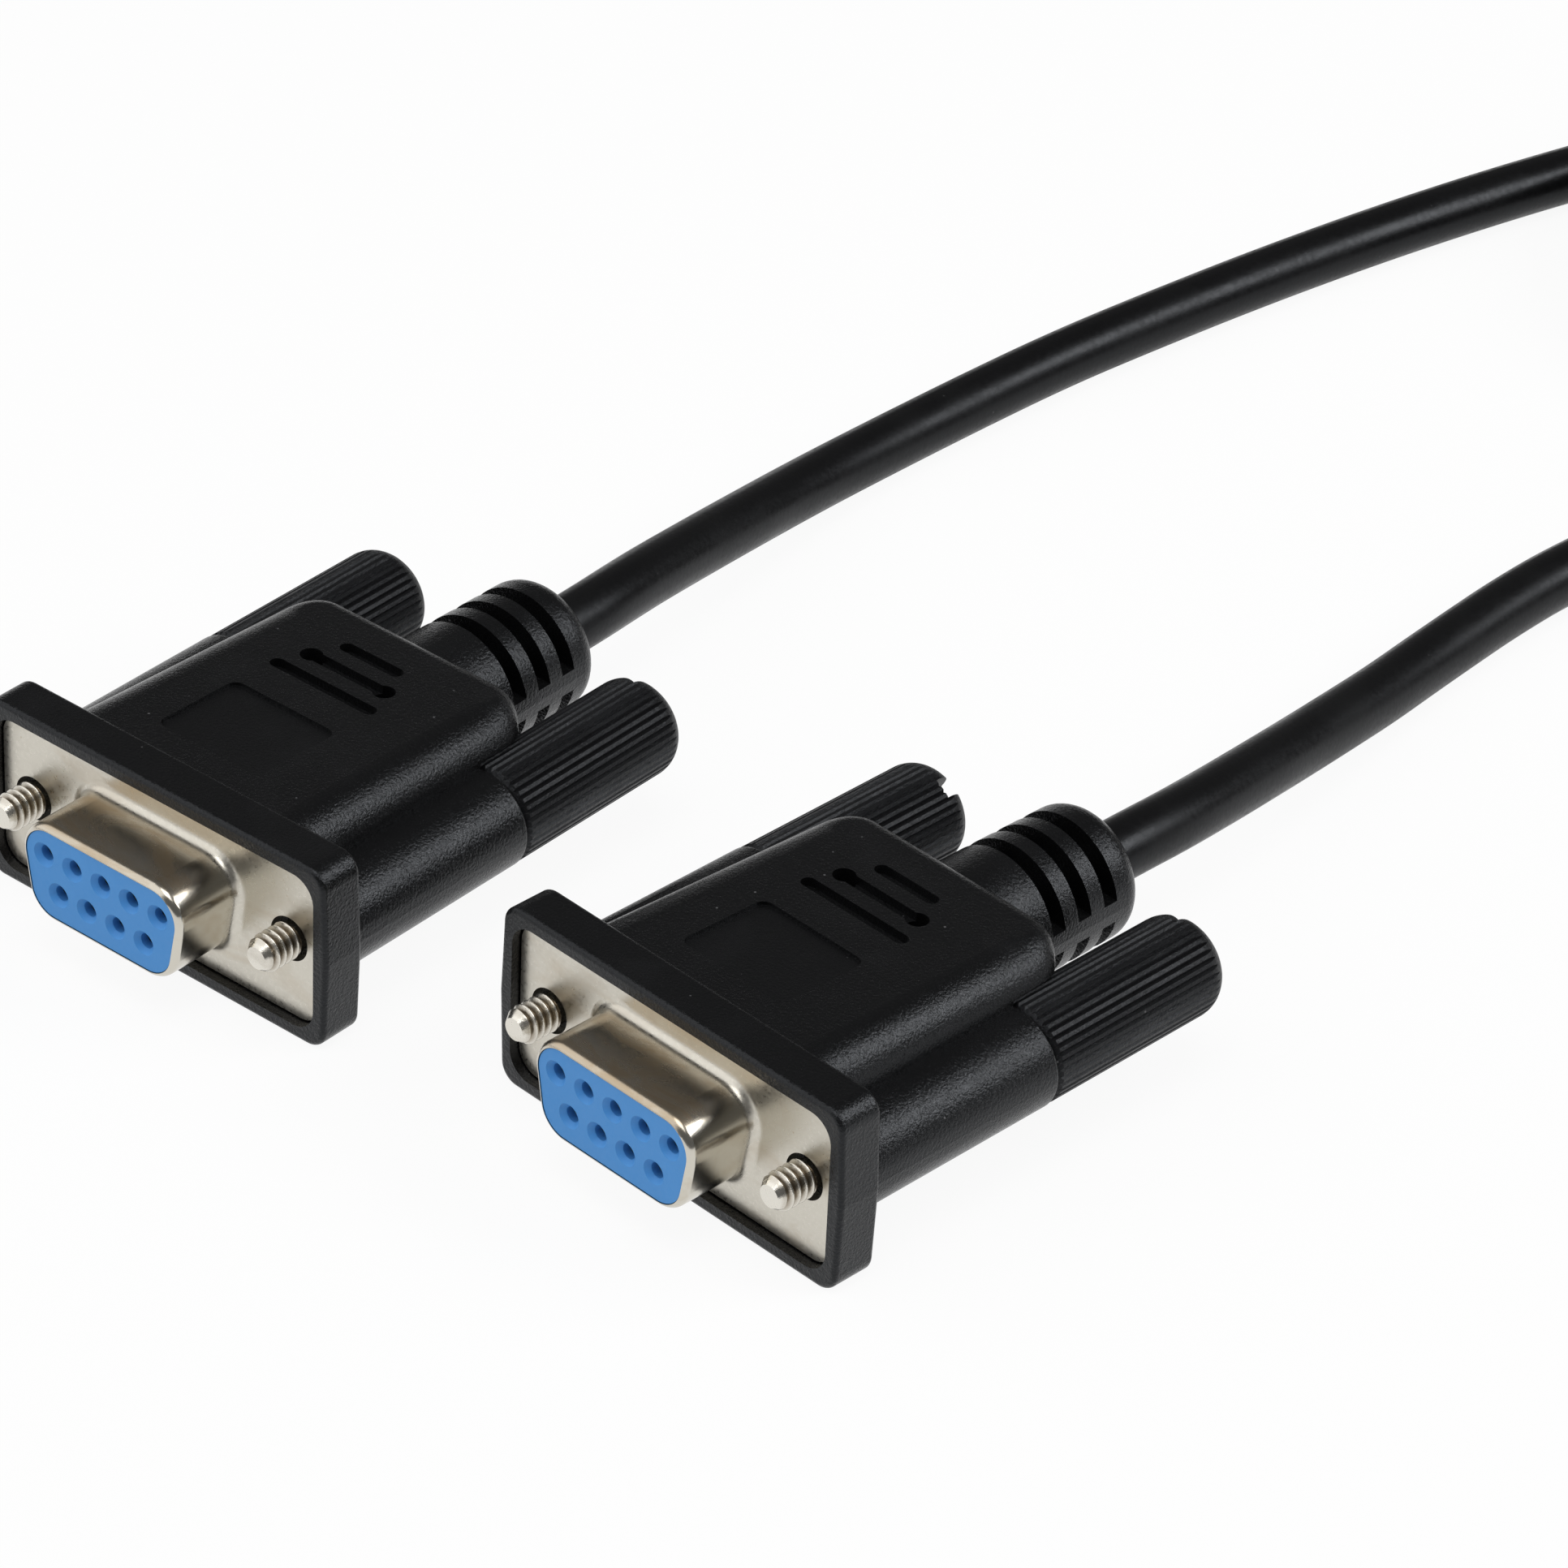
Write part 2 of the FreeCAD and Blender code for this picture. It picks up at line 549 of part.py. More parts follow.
def round_block(block, label):
    """Rounds the block's long edges and, more tightly, its rear edges. The corners between them blend."""
    start, length = value(BLOCK_START), value("hood_end - (%s)" % BLOCK_START)
    top, drop = value("hood_front_height / 2"), value("hood_drop")

    def on_slope(point):
        return abs(abs(point.z) - top + drop * (point.y - start) / length) < 1e-4

    rims = set(edges_where(block.Shape, on_slope))
    rear = rims & set(edges_where(block.Shape, at_depth("hood_end")))
    front = rims & set(edges_where(block.Shape, at_depth(BLOCK_START)))
    straight = {name for name in rims - front if block.Shape.getElement(name).Curve.TypeId == "Part::GeomLine"}
    radii = {name: value("hood_rear_edge" if name in rear else "hood_corner") for name in straight}
    rounded = doc.addObject("Part::Fillet", label)
    rounded.Base = block
    rounded.Edges = [(int(name[4:]), radius, radius) for name, radius in sorted(radii.items())]
    doc.recompute()
    return rounded


def hood_body(body):
    """Barrel along each side of the hood, and a hollow for the knob behind each barrel."""
    for side, sign in SIDES.items():
        barrel = sketch_on(body, "barrel_%s_profile" % side, "XY_Plane")
        bind(barrel, "AttachmentOffset.Base.x", "%d * screw_spacing / 2" % sign)
        outline(barrel, [
            ("0", BLOCK_START, ""),
            ("barrel_radius", BLOCK_START, ""),
            ("barrel_radius", "barrel_end", "barrel_edge"),
            ("0", "barrel_end", ""),
        ])
        revolve(body, "barrel_" + side, barrel)

    scoops = front_sketch(body, "scoop_outline", "barrel_end")
    circles(scoops, screw_spots(), "scoop_radius")
    pocket(body, "scoops", scoops, "hood_end - barrel_end + 1")


def hood_relief(body):
    """Strain relief: a ribbed sleeve with three slots above and three below, and the cable's bore."""
    profile = sketch_on(body, "relief_profile", "XY_Plane")
    outline(profile, [
        ("0", "hood_end - relief_root", ""),
        ("relief_front_radius", "hood_end - relief_root", ""),
        ("relief_rear_radius", "relief_end", "relief_round"),
        ("0", "relief_end", ""),
    ])
    revolve(body, "relief", profile)

    slots = front_sketch(body, "relief_slot_outline", "relief_slot_first - relief_slot / 2")
    for upward in (1, -1):
        half_ring(slots, upward, "relief_core", "relief_front_radius + 1", "relief_rib / 2")
    first = pocket(body, "relief_slot", slots, "relief_slot")
    row = body.newObject("PartDesign::LinearPattern", body.Name + "_relief_slots")
    row.Originals = [first]
    row.Refine = False
    axis = next(item for item in body.Origin.OriginFeatures if item.Role == "Y_Axis")
    row.Direction = (axis, [""])
    bind(row, "Length", "relief_slot_pitch * %d" % (RELIEF_SLOTS - 1))
    row.Occurrences = RELIEF_SLOTS
    body.Tip = row
    doc.recompute()

    bore = front_sketch(body, "cable_bore_outline", "relief_end")
    circles(bore, [("0", "0")], "cable_radius + fit_gap")
    pocket(body, "cable_bore", bore, "relief_end - mould_end", flip=True)


def hood_marks(body):
    """Bare label recess and three grip slots with two pin holes, above and below."""
    slope = "atan(hood_drop / (hood_end - (%s)))" % BLOCK_START

    def sloped_sketch(name):
        sketch = sketch_on(body, name, "XY_Plane")
        turn = FreeCAD.Rotation(FreeCAD.Vector(1, 0, 0), -1)
        sketch.AttachmentOffset = FreeCAD.Placement(FreeCAD.Vector(), turn)
        bind(sketch, "AttachmentOffset.Base.x", "marks_across")
        bind(sketch, "AttachmentOffset.Base.y", BLOCK_START)
        bind(sketch, "AttachmentOffset.Base.z", "hood_front_height / 2")
        bind(sketch, "AttachmentOffset.Rotation.Angle", "-" + slope)
        return sketch

    label = sloped_sketch("label_outline")
    start = "label_start - (%s)" % BLOCK_START
    rectangle(label, "label_width / 2", start, start + " + label_length", "label_corner")
    marks = [pocket(body, "label", label, "label_depth")]

    grips = sloped_sketch("grip_outline")
    lengths = ["grip_front_length / 2 - grip_width / 2", "grip_middle_length / 2",
               "grip_rear_length / 2 - grip_width / 2"]
    levels = ["grip_first + %d * grip_pitch - (%s)" % (number, BLOCK_START) for number in range(GRIPS)]
    for half_length, level in zip(lengths, levels):
        obround(grips, half_length, level, "grip_width / 2")
    marks.append(pocket(body, "grips", grips, "grip_depth"))

    pins = sloped_sketch("pin_outline")
    circles(pins, [("grip_middle_length / 2", levels[1]), ("-grip_middle_length / 2", levels[1])], "pin_radius")
    marks.append(pocket(body, "pins", pins, "pin_depth"))

    below = body.newObject("PartDesign::Mirrored", body.Name + "_marks_below")
    below.Originals = marks
    below.Refine = False
    plane = next(item for item in body.Origin.OriginFeatures if item.Role == "XY_Plane")
    below.MirrorPlane = (plane, [""])
    body.Tip = below
    doc.recompute()


def hood_inside(body):
    """Seat of the plates, pocket of the rear collar, room for the inner mould and the screws' bores."""
    seat = front_sketch(body, "seat_outline", "-rim_depth")
    half_height = "plate_height / 2 + plate_gap"
    rectangle(seat, "plate_width / 2 + plate_gap", "-(%s)" % half_height, half_height, "plate_corner + plate_gap")
    pocket(body, "seat", seat, "rim_depth + " + PLATES_BACK)

    collar = front_sketch(body, "collar_outline", PLATES_BACK)
    d_outline(collar, "collar_width", "collar_height", "collar_corner", "-fit_gap")
    pocket(body, "collar_pocket", collar, "collar_depth")
    loft(body, "mould_room", "SubtractiveLoft", *mould_sections(body))

    bores = front_sketch(body, "bore_outline", PLATES_BACK)
    circles(bores, screw_spots(), "shank_radius + running_gap")
    pocket(body, "bores", bores, "barrel_end - (%s) + 1" % PLATES_BACK)


def make_hood(end):
    """One-piece moulded hood: flange, block, barrels and strain relief."""
    flange = new_body("hood_flange_" + end)
    hood_flange(flange)
    block = new_body("hood_block_" + end)
    hood_block(block)
    joined = doc.addObject("Part::Fuse", "hood_joined_" + end)
    joined.Base = flange
    joined.Tool = round_block(block, "hood_rounded_" + end)
    joined.Refine = False
    body = new_body("hood_" + end)
    body.BaseFeature = joined
    doc.recompute()
    hood_body(body)
    hood_relief(body)
    hood_marks(body)
    hood_inside(body)
    place(body, end)


def make_front_shell(end):
    """Drawn front plate with the D collar that the mating plug goes over."""
    body = new_body("front_shell_" + end)
    plate = front_sketch(body, "plate_outline", "0")
    rectangle(plate, "plate_width / 2", "-plate_height / 2", "plate_height / 2", "plate_corner")
    pad(body, "plate", plate, "plate_thickness")
    collar = front_sketch(body, "collar_outline", "0")
    d_outline(collar, "shell_width", "shell_height", "shell_corner")
    drawn = pad(body, "collar", collar, "shell_depth", backwards=False)
    lip = edges_where(drawn.Shape, at_depth("-shell_depth"))
    rounded = dress(body, "Fillet", "lip", drawn, lip, "shell_lip")
    half_width, half_height = value("shell_width / 2"), value("shell_height / 2")

    def on_root(point):
        return abs(point.y) < 1e-4 and abs(point.x) < half_width + 1e-4 and abs(point.z) < half_height + 1e-4

    dress(body, "Fillet", "root", rounded, edges_where(rounded.Shape, on_root), "shell_root")
    inside = front_sketch(body, "inside_outline", "-shell_depth")
    d_outline(inside, "shell_width", "shell_height", "shell_corner", "shell_wall")
    pocket(body, "inside", inside, "shell_depth + plate_thickness")
    holes = front_sketch(body, "hole_outline", "0")
    circles(holes, screw_spots(), "plate_hole / 2")
    pocket(body, "holes", holes, "plate_thickness")
    place(body, end)


def make_rear_shell(end):
    """Second drawn plate, clamped behind the first, with the collar that holds both insulators."""
    body = new_body("rear_shell_" + end)
    plate = front_sketch(body, "plate_outline", "plate_thickness")
    rectangle(plate, "plate_width / 2", "-plate_height / 2", "plate_height / 2", "plate_corner")
    pad(body, "plate", plate, "plate_thickness")
    collar = front_sketch(body, "collar_outline", PLATES_BACK)
    d_outline(collar, "collar_width", "collar_height", "collar_corner")
    pad(body, "collar", collar, "collar_depth")
    inside = front_sketch(body, "inside_outline", "plate_thickness")
    d_outline(inside, "collar_width", "collar_height", "collar_corner", "shell_wall")
    pocket(body, "inside", inside, "plate_thickness + collar_depth")
    holes = front_sketch(body, "hole_outline", "plate_thickness")
    circles(holes, screw_spots(), "plate_hole / 2")
    pocket(body, "holes", holes, "plate_thickness")
    place(body, end)


def make_front_insulator(end):
    """Insulator with nine countersunk holes: a face inside the D and a base clamped behind the plate."""
    body = new_body("front_insulator_" + end)
    face = front_sketch(body, "face_outline", FACE)
    d_outline(face, "shell_width", "shell_height", "shell_corner", FRONT_INSET)
    pad(body, "face", face, "plate_thickness - (%s)" % FACE)
    base = front_sketch(body, "base_outline", "plate_thickness")
    d_outline(base, "collar_width", "collar_height", "collar_corner", FRONT_INSET)
    pad(body, "base", base, "base_depth")
    openings = front_sketch(body, "opening_outline", FACE)
    circles(openings, contact_spots(), "opening_radius")
    cut = pocket(body, "openings", openings, "opening_depth")
    radius = value("opening_radius")
    rims = [name for name in edges_where(cut.Shape, at_depth(FACE))
            if abs(getattr(cut.Shape.getElement(name).Curve, "Radius", 0) - radius) < 1e-4]
    dress(body, "Chamfer", "flares", cut, rims, "opening_flare")
    rooms = front_sketch(body, "room_outline", "%s + opening_depth" % FACE)
    circles(rooms, contact_spots(), "socket_radius + fit_gap")
    pocket(body, "rooms", rooms, "%s - (%s) - opening_depth" % (BASE_END, FACE))
    seats = front_sketch(body, "shoulder_outline", "%s - shoulder_depth - fit_gap" % BASE_END)
    circles(seats, contact_spots(), "shoulder_radius + fit_gap")
    pocket(body, "shoulder_seats", seats, "shoulder_depth + fit_gap")
    place(body, end)


def make_rear_insulator(end):
    """Plate that holds the contacts' shoulders in the front insulator."""
    body = new_body("rear_insulator_" + end)
    plate = front_sketch(body, "plate_outline", BASE_END)
    d_outline(plate, "collar_width", "collar_height", "collar_corner", FRONT_INSET)
    pad(body, "plate", plate, "%s - (%s)" % (COLLAR_END, BASE_END))
    holes = front_sketch(body, "hole_outline", BASE_END)
    circles(holes, contact_spots(), "socket_radius + fit_gap")
    pocket(body, "holes", holes, "%s - (%s)" % (COLLAR_END, BASE_END))
    place(body, end)


def make_contact(number, end):
    """Turned socket contact: slit bore for the pin, shoulder, and a solder cup that is open on one side."""
    body = new_body("contact_%d_%s" % (number, end))
    profile = sketch_on(body, "profile", "XY_Plane")
    shoulder = "%s - fit_gap / 2" % BASE_END
    outline(profile, [
        ("socket_bore", SOCKET_START, ""),
        ("socket_radius", SOCKET_START, ""),
        ("socket_radius", "%s - shoulder_depth" % shoulder, ""),
        ("shoulder_radius", "%s - shoulder_depth" % shoulder, ""),
        ("shoulder_radius", shoulder, ""),
        ("socket_radius", shoulder, ""),
        ("socket_radius", "cup_end", ""),
        ("cup_bore", "cup_end", ""),
        ("cup_bore", "cup_end - cup_depth", ""),
        ("0", "cup_end - cup_depth", ""),
        ("0", "%s + socket_bore_depth" % SOCKET_START, ""),
        ("socket_bore", "%s + socket_bore_depth" % SOCKET_START, ""),
    ])
    revolve(body, "turned", profile)
    slit = front_sketch(body, "slit_outline", SOCKET_START)
    reach = "socket_radius + fit_gap"
    rectangle(slit, "slit_width / 2", "-(%s)" % reach, reach)
    pocket(body, "slit", slit, "slit_depth")
    scoop = sketch_on(body, "scoop_outline", "XY_Plane")
    rectangle(scoop, reach, "cup_end - cup_scoop", "cup_end + fit_gap")
    pocket(body, "scoop", scoop, reach, flip=number in TOP_ROW)
    across, up = contact_spot(number)
    place(body, end, across, up)


def rounded_path(points):
    """Wire of straight runs joined by tangent arcs, each as large as its two runs allow, and its radii."""
    edges, radii = [], []
    start = points[0]
    for before, corner, after in zip(points, points[1:], points[2:]):
        back, ahead = before - corner, after - corner
        reach = ARC_SHARE * min(back.Length, ahead.Length)
        back.normalize()
        ahead.normalize()
        half = back.getAngle(ahead) / 2
        radius = reach * math.tan(half)
        inward = (back + ahead).normalize()
        entry, leave = corner + back * reach, corner + ahead * reach
        middle = corner + inward * (radius / math.sin(half) - radius)
        edges.append(Part.LineSegment(start, entry).toShape())
        edges.append(Part.Arc(entry, middle, leave).toShape())
        radii.append(radius)
        start = leave
    edges.append(Part.LineSegment(start, points[-1]).toShape())
    return Part.Wire(edges), radii


def tube(label, points, radius):
    """Round solid along a route. Its volume is compared with its section times its length."""
    path, radii = rounded_path(points)
    section = Part.Wire([Part.Circle(points[0], points[1] - points[0], radius).toShape()])
    solid = path.makePipeShell([section], True, False)
    wanted = math.pi * radius ** 2 * path.Length
    if abs(solid.Volume / wanted - 1) > 0.01:
        raise ValueError("%s has volume %.2f, not %.2f" % (label, solid.Volume, wanted))
    item = doc.addObject("Part::Feature", label)
    item.Label = label
    item.Shape = solid
    return item, path.Length, radii


def spot_vector(across, depth, up):
    """Point in the frame of one end, from three formulas."""
    return FreeCAD.Vector(value(across), value(depth), value(up))


def core_points(number):
    """Route of one conductor, from the bottom of its solder cup to the end of the jacket."""
    across, up = contact_spot(number)
    step = RING_STEPS[number]
    angle = math.radians(60 * (step or 0))
    ring = 0.0 if step is None else value("core_ring")
    bundle = FreeCAD.Vector(ring * math.cos(angle), value("jacket_start"), ring * math.sin(angle))
    lead = FreeCAD.Vector(0, value("core_radius * 3"), 0)
    cup = spot_vector(across, "cup_end", up)
    return [cup - FreeCAD.Vector(0, value("cup_depth - fit_gap"), 0), cup + lead, bundle - lead, bundle]


def link_points():
    """Route of the wire that joins contact 1, in its cup, to the outer side of contact 6's cup."""
    first_across, first_up = contact_spot(1)
    last_across, last_up = contact_spot(6)
    beside = "%s + socket_radius + link_radius + fit_gap" % last_across
    return [
        spot_vector(first_across, "cup_end - cup_depth + fit_gap", first_up),
        spot_vector(first_across, "cup_end + link_back", first_up),
        spot_vector(beside, "cup_end + link_back", last_up),
        spot_vector(beside, "%s + fit_gap" % COLLAR_END, last_up),
    ]


def make_wiring(end):
    """Seven conductors and the link, and the inner mould that is shot round them."""
    body = new_body("mould_block_" + end)
    loft(body, "block", "AdditiveLoft", *mould_sections(body))
    cups = front_sketch(body, "cup_outline", COLLAR_END)
    circles(cups, contact_spots(), "socket_radius + fit_gap")
    pocket(body, "cups", cups, "cup_end + fit_gap - (%s)" % COLLAR_END)
    jacket = front_sketch(body, "jacket_outline", "mould_end")
    circles(jacket, [("0", "0")], "cable_radius + fit_gap")
    pocket(body, "jacket", jacket, "mould_end - jacket_start", flip=True)

    channels = []
    for number in sorted(RING_STEPS):
        wire = tube("conductor_%d_%s" % (number, end), core_points(number), value("core_radius"))[0]
        place(wire, end)
        room = tube("channel_%d_%s" % (number, end), core_points(number), value("core_radius + fit_gap"))[0]
        channels.append(room)
    link = tube("pin_link_" + end, link_points(), value("link_radius"))[0]
    place(link, end)
    channels.append(tube("link_channel_" + end, link_points(), value("link_radius + fit_gap"))[0])

    rooms = doc.addObject("Part::Compound", "channels_" + end)
    rooms.Links = channels
    mould = doc.addObject("Part::Cut", "inner_mould_" + end)
    mould.Label = "inner_mould_" + end
    mould.Base = body
    mould.Tool = rooms
    doc.recompute()
    place(mould, end)


def make_cable_end(end):
    """Stretch of cable that the strain relief holds."""
    body = new_body("cable_end_" + end)
    section = front_sketch(body, "section", "jacket_start")
    circles(section, [("0", "0")], "cable_radius")
    pad(body, "jacket", section, "relief_end - jacket_start")
    place(body, end)


def make_knob(end, side):
    """Fluted knob with a domed end and a screwdriver slot across it."""
    body = new_body("knob_%s_%s" % (side, end))
    rear = "%s + knob_length" % KNOB_START
    profile = sketch_on(body, "profile", "XY_Plane")
    outline(profile, [
        ("insert_radius + insert_gap", KNOB_START, ""),
        ("knob_radius - knob_edge", KNOB_START, ""),
        ("knob_radius", "%s + knob_edge" % KNOB_START, ""),
        ("knob_radius", rear, "knob_round"),
        ("0", rear, ""),
        ("0", "%s + insert_depth + insert_gap" % KNOB_START, ""),
        ("insert_radius + insert_gap", "%s + insert_depth + insert_gap" % KNOB_START, ""),
    ])
    revolve(body, "turned", profile)

    groove = front_sketch(body, "flute_outline", KNOB_START)
    outline(groove, [
        ("0", "knob_radius - flute_depth", ""),
        ("flute_width / 2", "knob_radius + flute_depth / 4", ""),
        ("-flute_width / 2", "knob_radius + flute_depth / 4", ""),
    ])
    first = pocket(body, "flute", groove, "knob_length")
    ring = body.newObject("PartDesign::PolarPattern", body.Name + "_flutes")
    ring.Originals = [first]
    ring.Refine = False
    axis = next(item for item in body.Origin.OriginFeatures if item.Role == "Y_Axis")
    ring.Axis = (axis, [""])
    ring.Angle = 360
    ring.Occurrences = FLUTES
    body.Tip = ring
    doc.recompute()

    slot = front_sketch(body, "slot_outline", rear, "slot_turn_%s_%s" % (end, side))
    reach = "knob_radius + 1"
    rectangle(slot, reach, "-slot_width / 2", "slot_width / 2")
    pocket(body, "slot", slot, "slot_depth", flip=True)
    place(body, end, "%d * screw_spacing / 2" % SIDES[side])


def make_jackscrew(end, side):
    """Jackscrew: chamfered tip, threaded length, plain shank and the head that the knob is moulded on."""
    body = new_body("jackscrew_%s_%s" % (side, end))
    profile = sketch_on(body, "profile", "XY_Plane")
    outline(profile, [
        ("0", "-thread_point", ""),
        ("thread_radius - thread_chamfer", "-thread_point", ""),
        ("thread_radius", "thread_chamfer - thread_point", ""),
        ("thread_radius", "-thread_start", ""),
        ("shank_radius", "-thread_start", ""),
        ("shank_radius", KNOB_START, ""),
        ("insert_radius", KNOB_START, ""),
        ("insert_radius", "%s + insert_depth" % KNOB_START, ""),
        ("0", "%s + insert_depth" % KNOB_START, ""),
    ])
    revolve(body, "turned", profile)
    place(body, end, "%d * screw_spacing / 2" % SIDES[side])


def make_lead(label, end, route):
    """Cable from a socket's exit to the coil, along its hand-chosen route."""
    turn = math.radians(value("turn_" + end))
    socket = FreeCAD.Vector(value("place_%s_x" % end), value("place_%s_y" % end), value("axis_height"))
    backward = FreeCAD.Vector(-math.sin(turn), math.cos(turn), 0)
    start = [socket + backward * value(depth) for depth in ("relief_end", "relief_end + lead_straight")]
    points = start + [FreeCAD.Vector(*point) for point in route]
    lead, length, radii = tube(label, points, value("cable_radius"))
    nodes.append(lead)
    print("%s: length %.1f mm, radii %s" % (label, length, " ".join("%.0f" % radius for radius in radii)))


def make_coil():
    """Ring with the outside of the coiled cable, lying on the table."""
    body = new_body("cable_coil")
    section = sketch_on(body, "section", "XZ_Plane")
    outer = "coil_outside / 2"
    inner = "coil_outside / 2 - coil_section"
    outline(section, [
        (inner, "0", "cable_radius"),
        (outer, "0", "cable_radius"),
        (outer, "coil_section", "cable_radius"),
        (inner, "coil_section", "cable_radius"),
    ])
    revolve(body, "ring", section)
    bind(body, "Placement.Base.x", "coil_x")
    bind(body, "Placement.Base.y", "coil_y")
    nodes.append(body)


def check_and_write():
    """Stops on any failed object or bad shape, then writes each sub-part's file."""
    doc.recompute()
    for item in doc.Objects:
        if {"Invalid", "Error"} & set(item.State):
            raise ValueError("%s has failed" % item.Label)
    for item in nodes:
        if item.Shape.isNull() or not item.Shape.isValid() or not item.Shape.Solids:
            raise ValueError("%s has a bad shape" % item.Label)
    os.makedirs("parts", exist_ok=True)
    for item in nodes:
        item.Shape.exportStep("parts/%s.step" % item.Label)
    print("%d sub-parts written" % len(nodes))


doc = FreeCAD.newDocument("null_modem_cable")
make_sheet()
gauge = doc.addObject("Part::Feature", "Gauge")
doc.recompute()
nodes = []
for end in ENDS:
    make_hood(end)
    make_front_shell(end)
    make_rear_shell(end)
    make_front_insulator(end)
    make_rear_insulator(end)
    for number in TOP_ROW + LOWER_ROW:
        make_contact(number, end)
    make_wiring(end)
    make_cable_end(end)
    for side in SIDES:
        make_knob(end, side)
        make_jackscrew(end, side)
make_lead("cable_lead_a", "a", LEAD_A)
make_lead("cable_lead_b", "b", LEAD_B)
make_coil()
check_and_write()
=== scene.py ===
"""Null modem cable: the finishes, the screws' threads and the free cable around the CAD frame.

Lengths are in metres, in the frame of the CAD model: X along socket B's plate, Y from its mating face
towards the cable, Z up, and the table at Z = 0.
"""
import json
import logging
import math
from dataclasses import dataclass
from enum import Enum

import bmesh
import bpy
import numpy as np
from mathutils import Matrix, Vector

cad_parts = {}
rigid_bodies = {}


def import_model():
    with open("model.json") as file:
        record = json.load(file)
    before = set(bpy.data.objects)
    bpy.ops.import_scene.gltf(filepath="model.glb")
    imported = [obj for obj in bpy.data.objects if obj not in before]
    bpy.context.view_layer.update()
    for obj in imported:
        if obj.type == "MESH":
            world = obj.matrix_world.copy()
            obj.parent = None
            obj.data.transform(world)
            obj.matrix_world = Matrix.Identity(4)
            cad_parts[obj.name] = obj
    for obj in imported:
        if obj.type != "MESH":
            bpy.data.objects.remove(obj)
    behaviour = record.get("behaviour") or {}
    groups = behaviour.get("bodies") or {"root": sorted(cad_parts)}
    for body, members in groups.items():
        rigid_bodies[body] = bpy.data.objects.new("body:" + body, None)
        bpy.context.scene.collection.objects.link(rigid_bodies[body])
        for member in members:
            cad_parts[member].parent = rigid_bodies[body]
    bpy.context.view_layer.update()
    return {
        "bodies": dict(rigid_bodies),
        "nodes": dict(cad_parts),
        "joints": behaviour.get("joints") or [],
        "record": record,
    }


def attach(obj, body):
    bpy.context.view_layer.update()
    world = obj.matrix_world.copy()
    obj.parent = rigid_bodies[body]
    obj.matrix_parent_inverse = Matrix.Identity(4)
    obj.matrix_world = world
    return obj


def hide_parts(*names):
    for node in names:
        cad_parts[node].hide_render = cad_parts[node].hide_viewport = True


Point = tuple[float, float, float]
Colour = tuple[float, float, float]
Value = bpy.types.NodeSocket | float | tuple

LOG = logging.getLogger("null_modem_cable")
MM = 0.001
FULL_TURN = 2 * math.pi
SIDES = ("left", "right")
WHITE = (1.0, 1.0, 1.0, 1.0)

# Cool tint of the black plastics' reflections
COOL_SHEEN = (0.9, 0.94, 1.0, 1.0)

# Specks of dust: cells for each metre, the dot's edge from its rim inwards, the chance that leaves a cell
# bare, and the dust's colour
SPECK_CELLS = 620.0
SPECK_EDGE = (0.07, 0.03)
SPECK_BARE = 0.8
SPECK_COLOUR = (0.3, 0.3, 0.31, 1.0)

# Moulded skin: where its clouds turn into rubbed spots, and the noise values that span its roughness
RUBBED_CLOUDS = (0.52, 0.78)
MOULDED_SHEEN = (0.4, 0.6)

# Plated skin: the stretch and size of the stains and of the patches of painted shade on the collar's top, and
# the noise values that span its roughness
STAIN_AND_SHADE_STRETCH = (0.35, 1.0, 1.0)
STAIN_AND_SHADE_SCALE = 380.0
PLATED_SHEEN = (0.3, 0.7)

# Where the collar starts, counted backwards from the plate, and the band under its top, counted upwards from
# it, where the collar's top is painted darker as a dark reflection, each from none to full
COLLAR_START = (-0.4 * MM, -1.2 * MM)
COLLAR_TOP_SHADE_BAND = (-0.9 * MM, -0.1 * MM)

# Patches of painted dark reflection mixed with stains on the collar's top, and stains of all other plating:
# noise values, and the strengths that they become
TOP_STAINS_AND_SHADE = (0.38, 0.6, 0.3, 1.0)
FAINT_STAINS = (0.5, 0.8, 0.0, 0.45)
SPECK_STAIN = 0.6

# What the full mask of tarnished spots and painted shade adds to the roughness, and the grain's height on the
# plate and on the collar
STAIN_AND_SHADE_ROUGHNESS = 0.12
GRAIN_HEIGHTS = (1.0, 0.25)

SKIN_OUTPUTS = {"Color": "Color", "Roughness": "Float", "Height": "Float"}


class Lay(Enum):
    """Layer of the put-away coil that a turn lies in."""

    LOWER = 0
    UPPER = 1


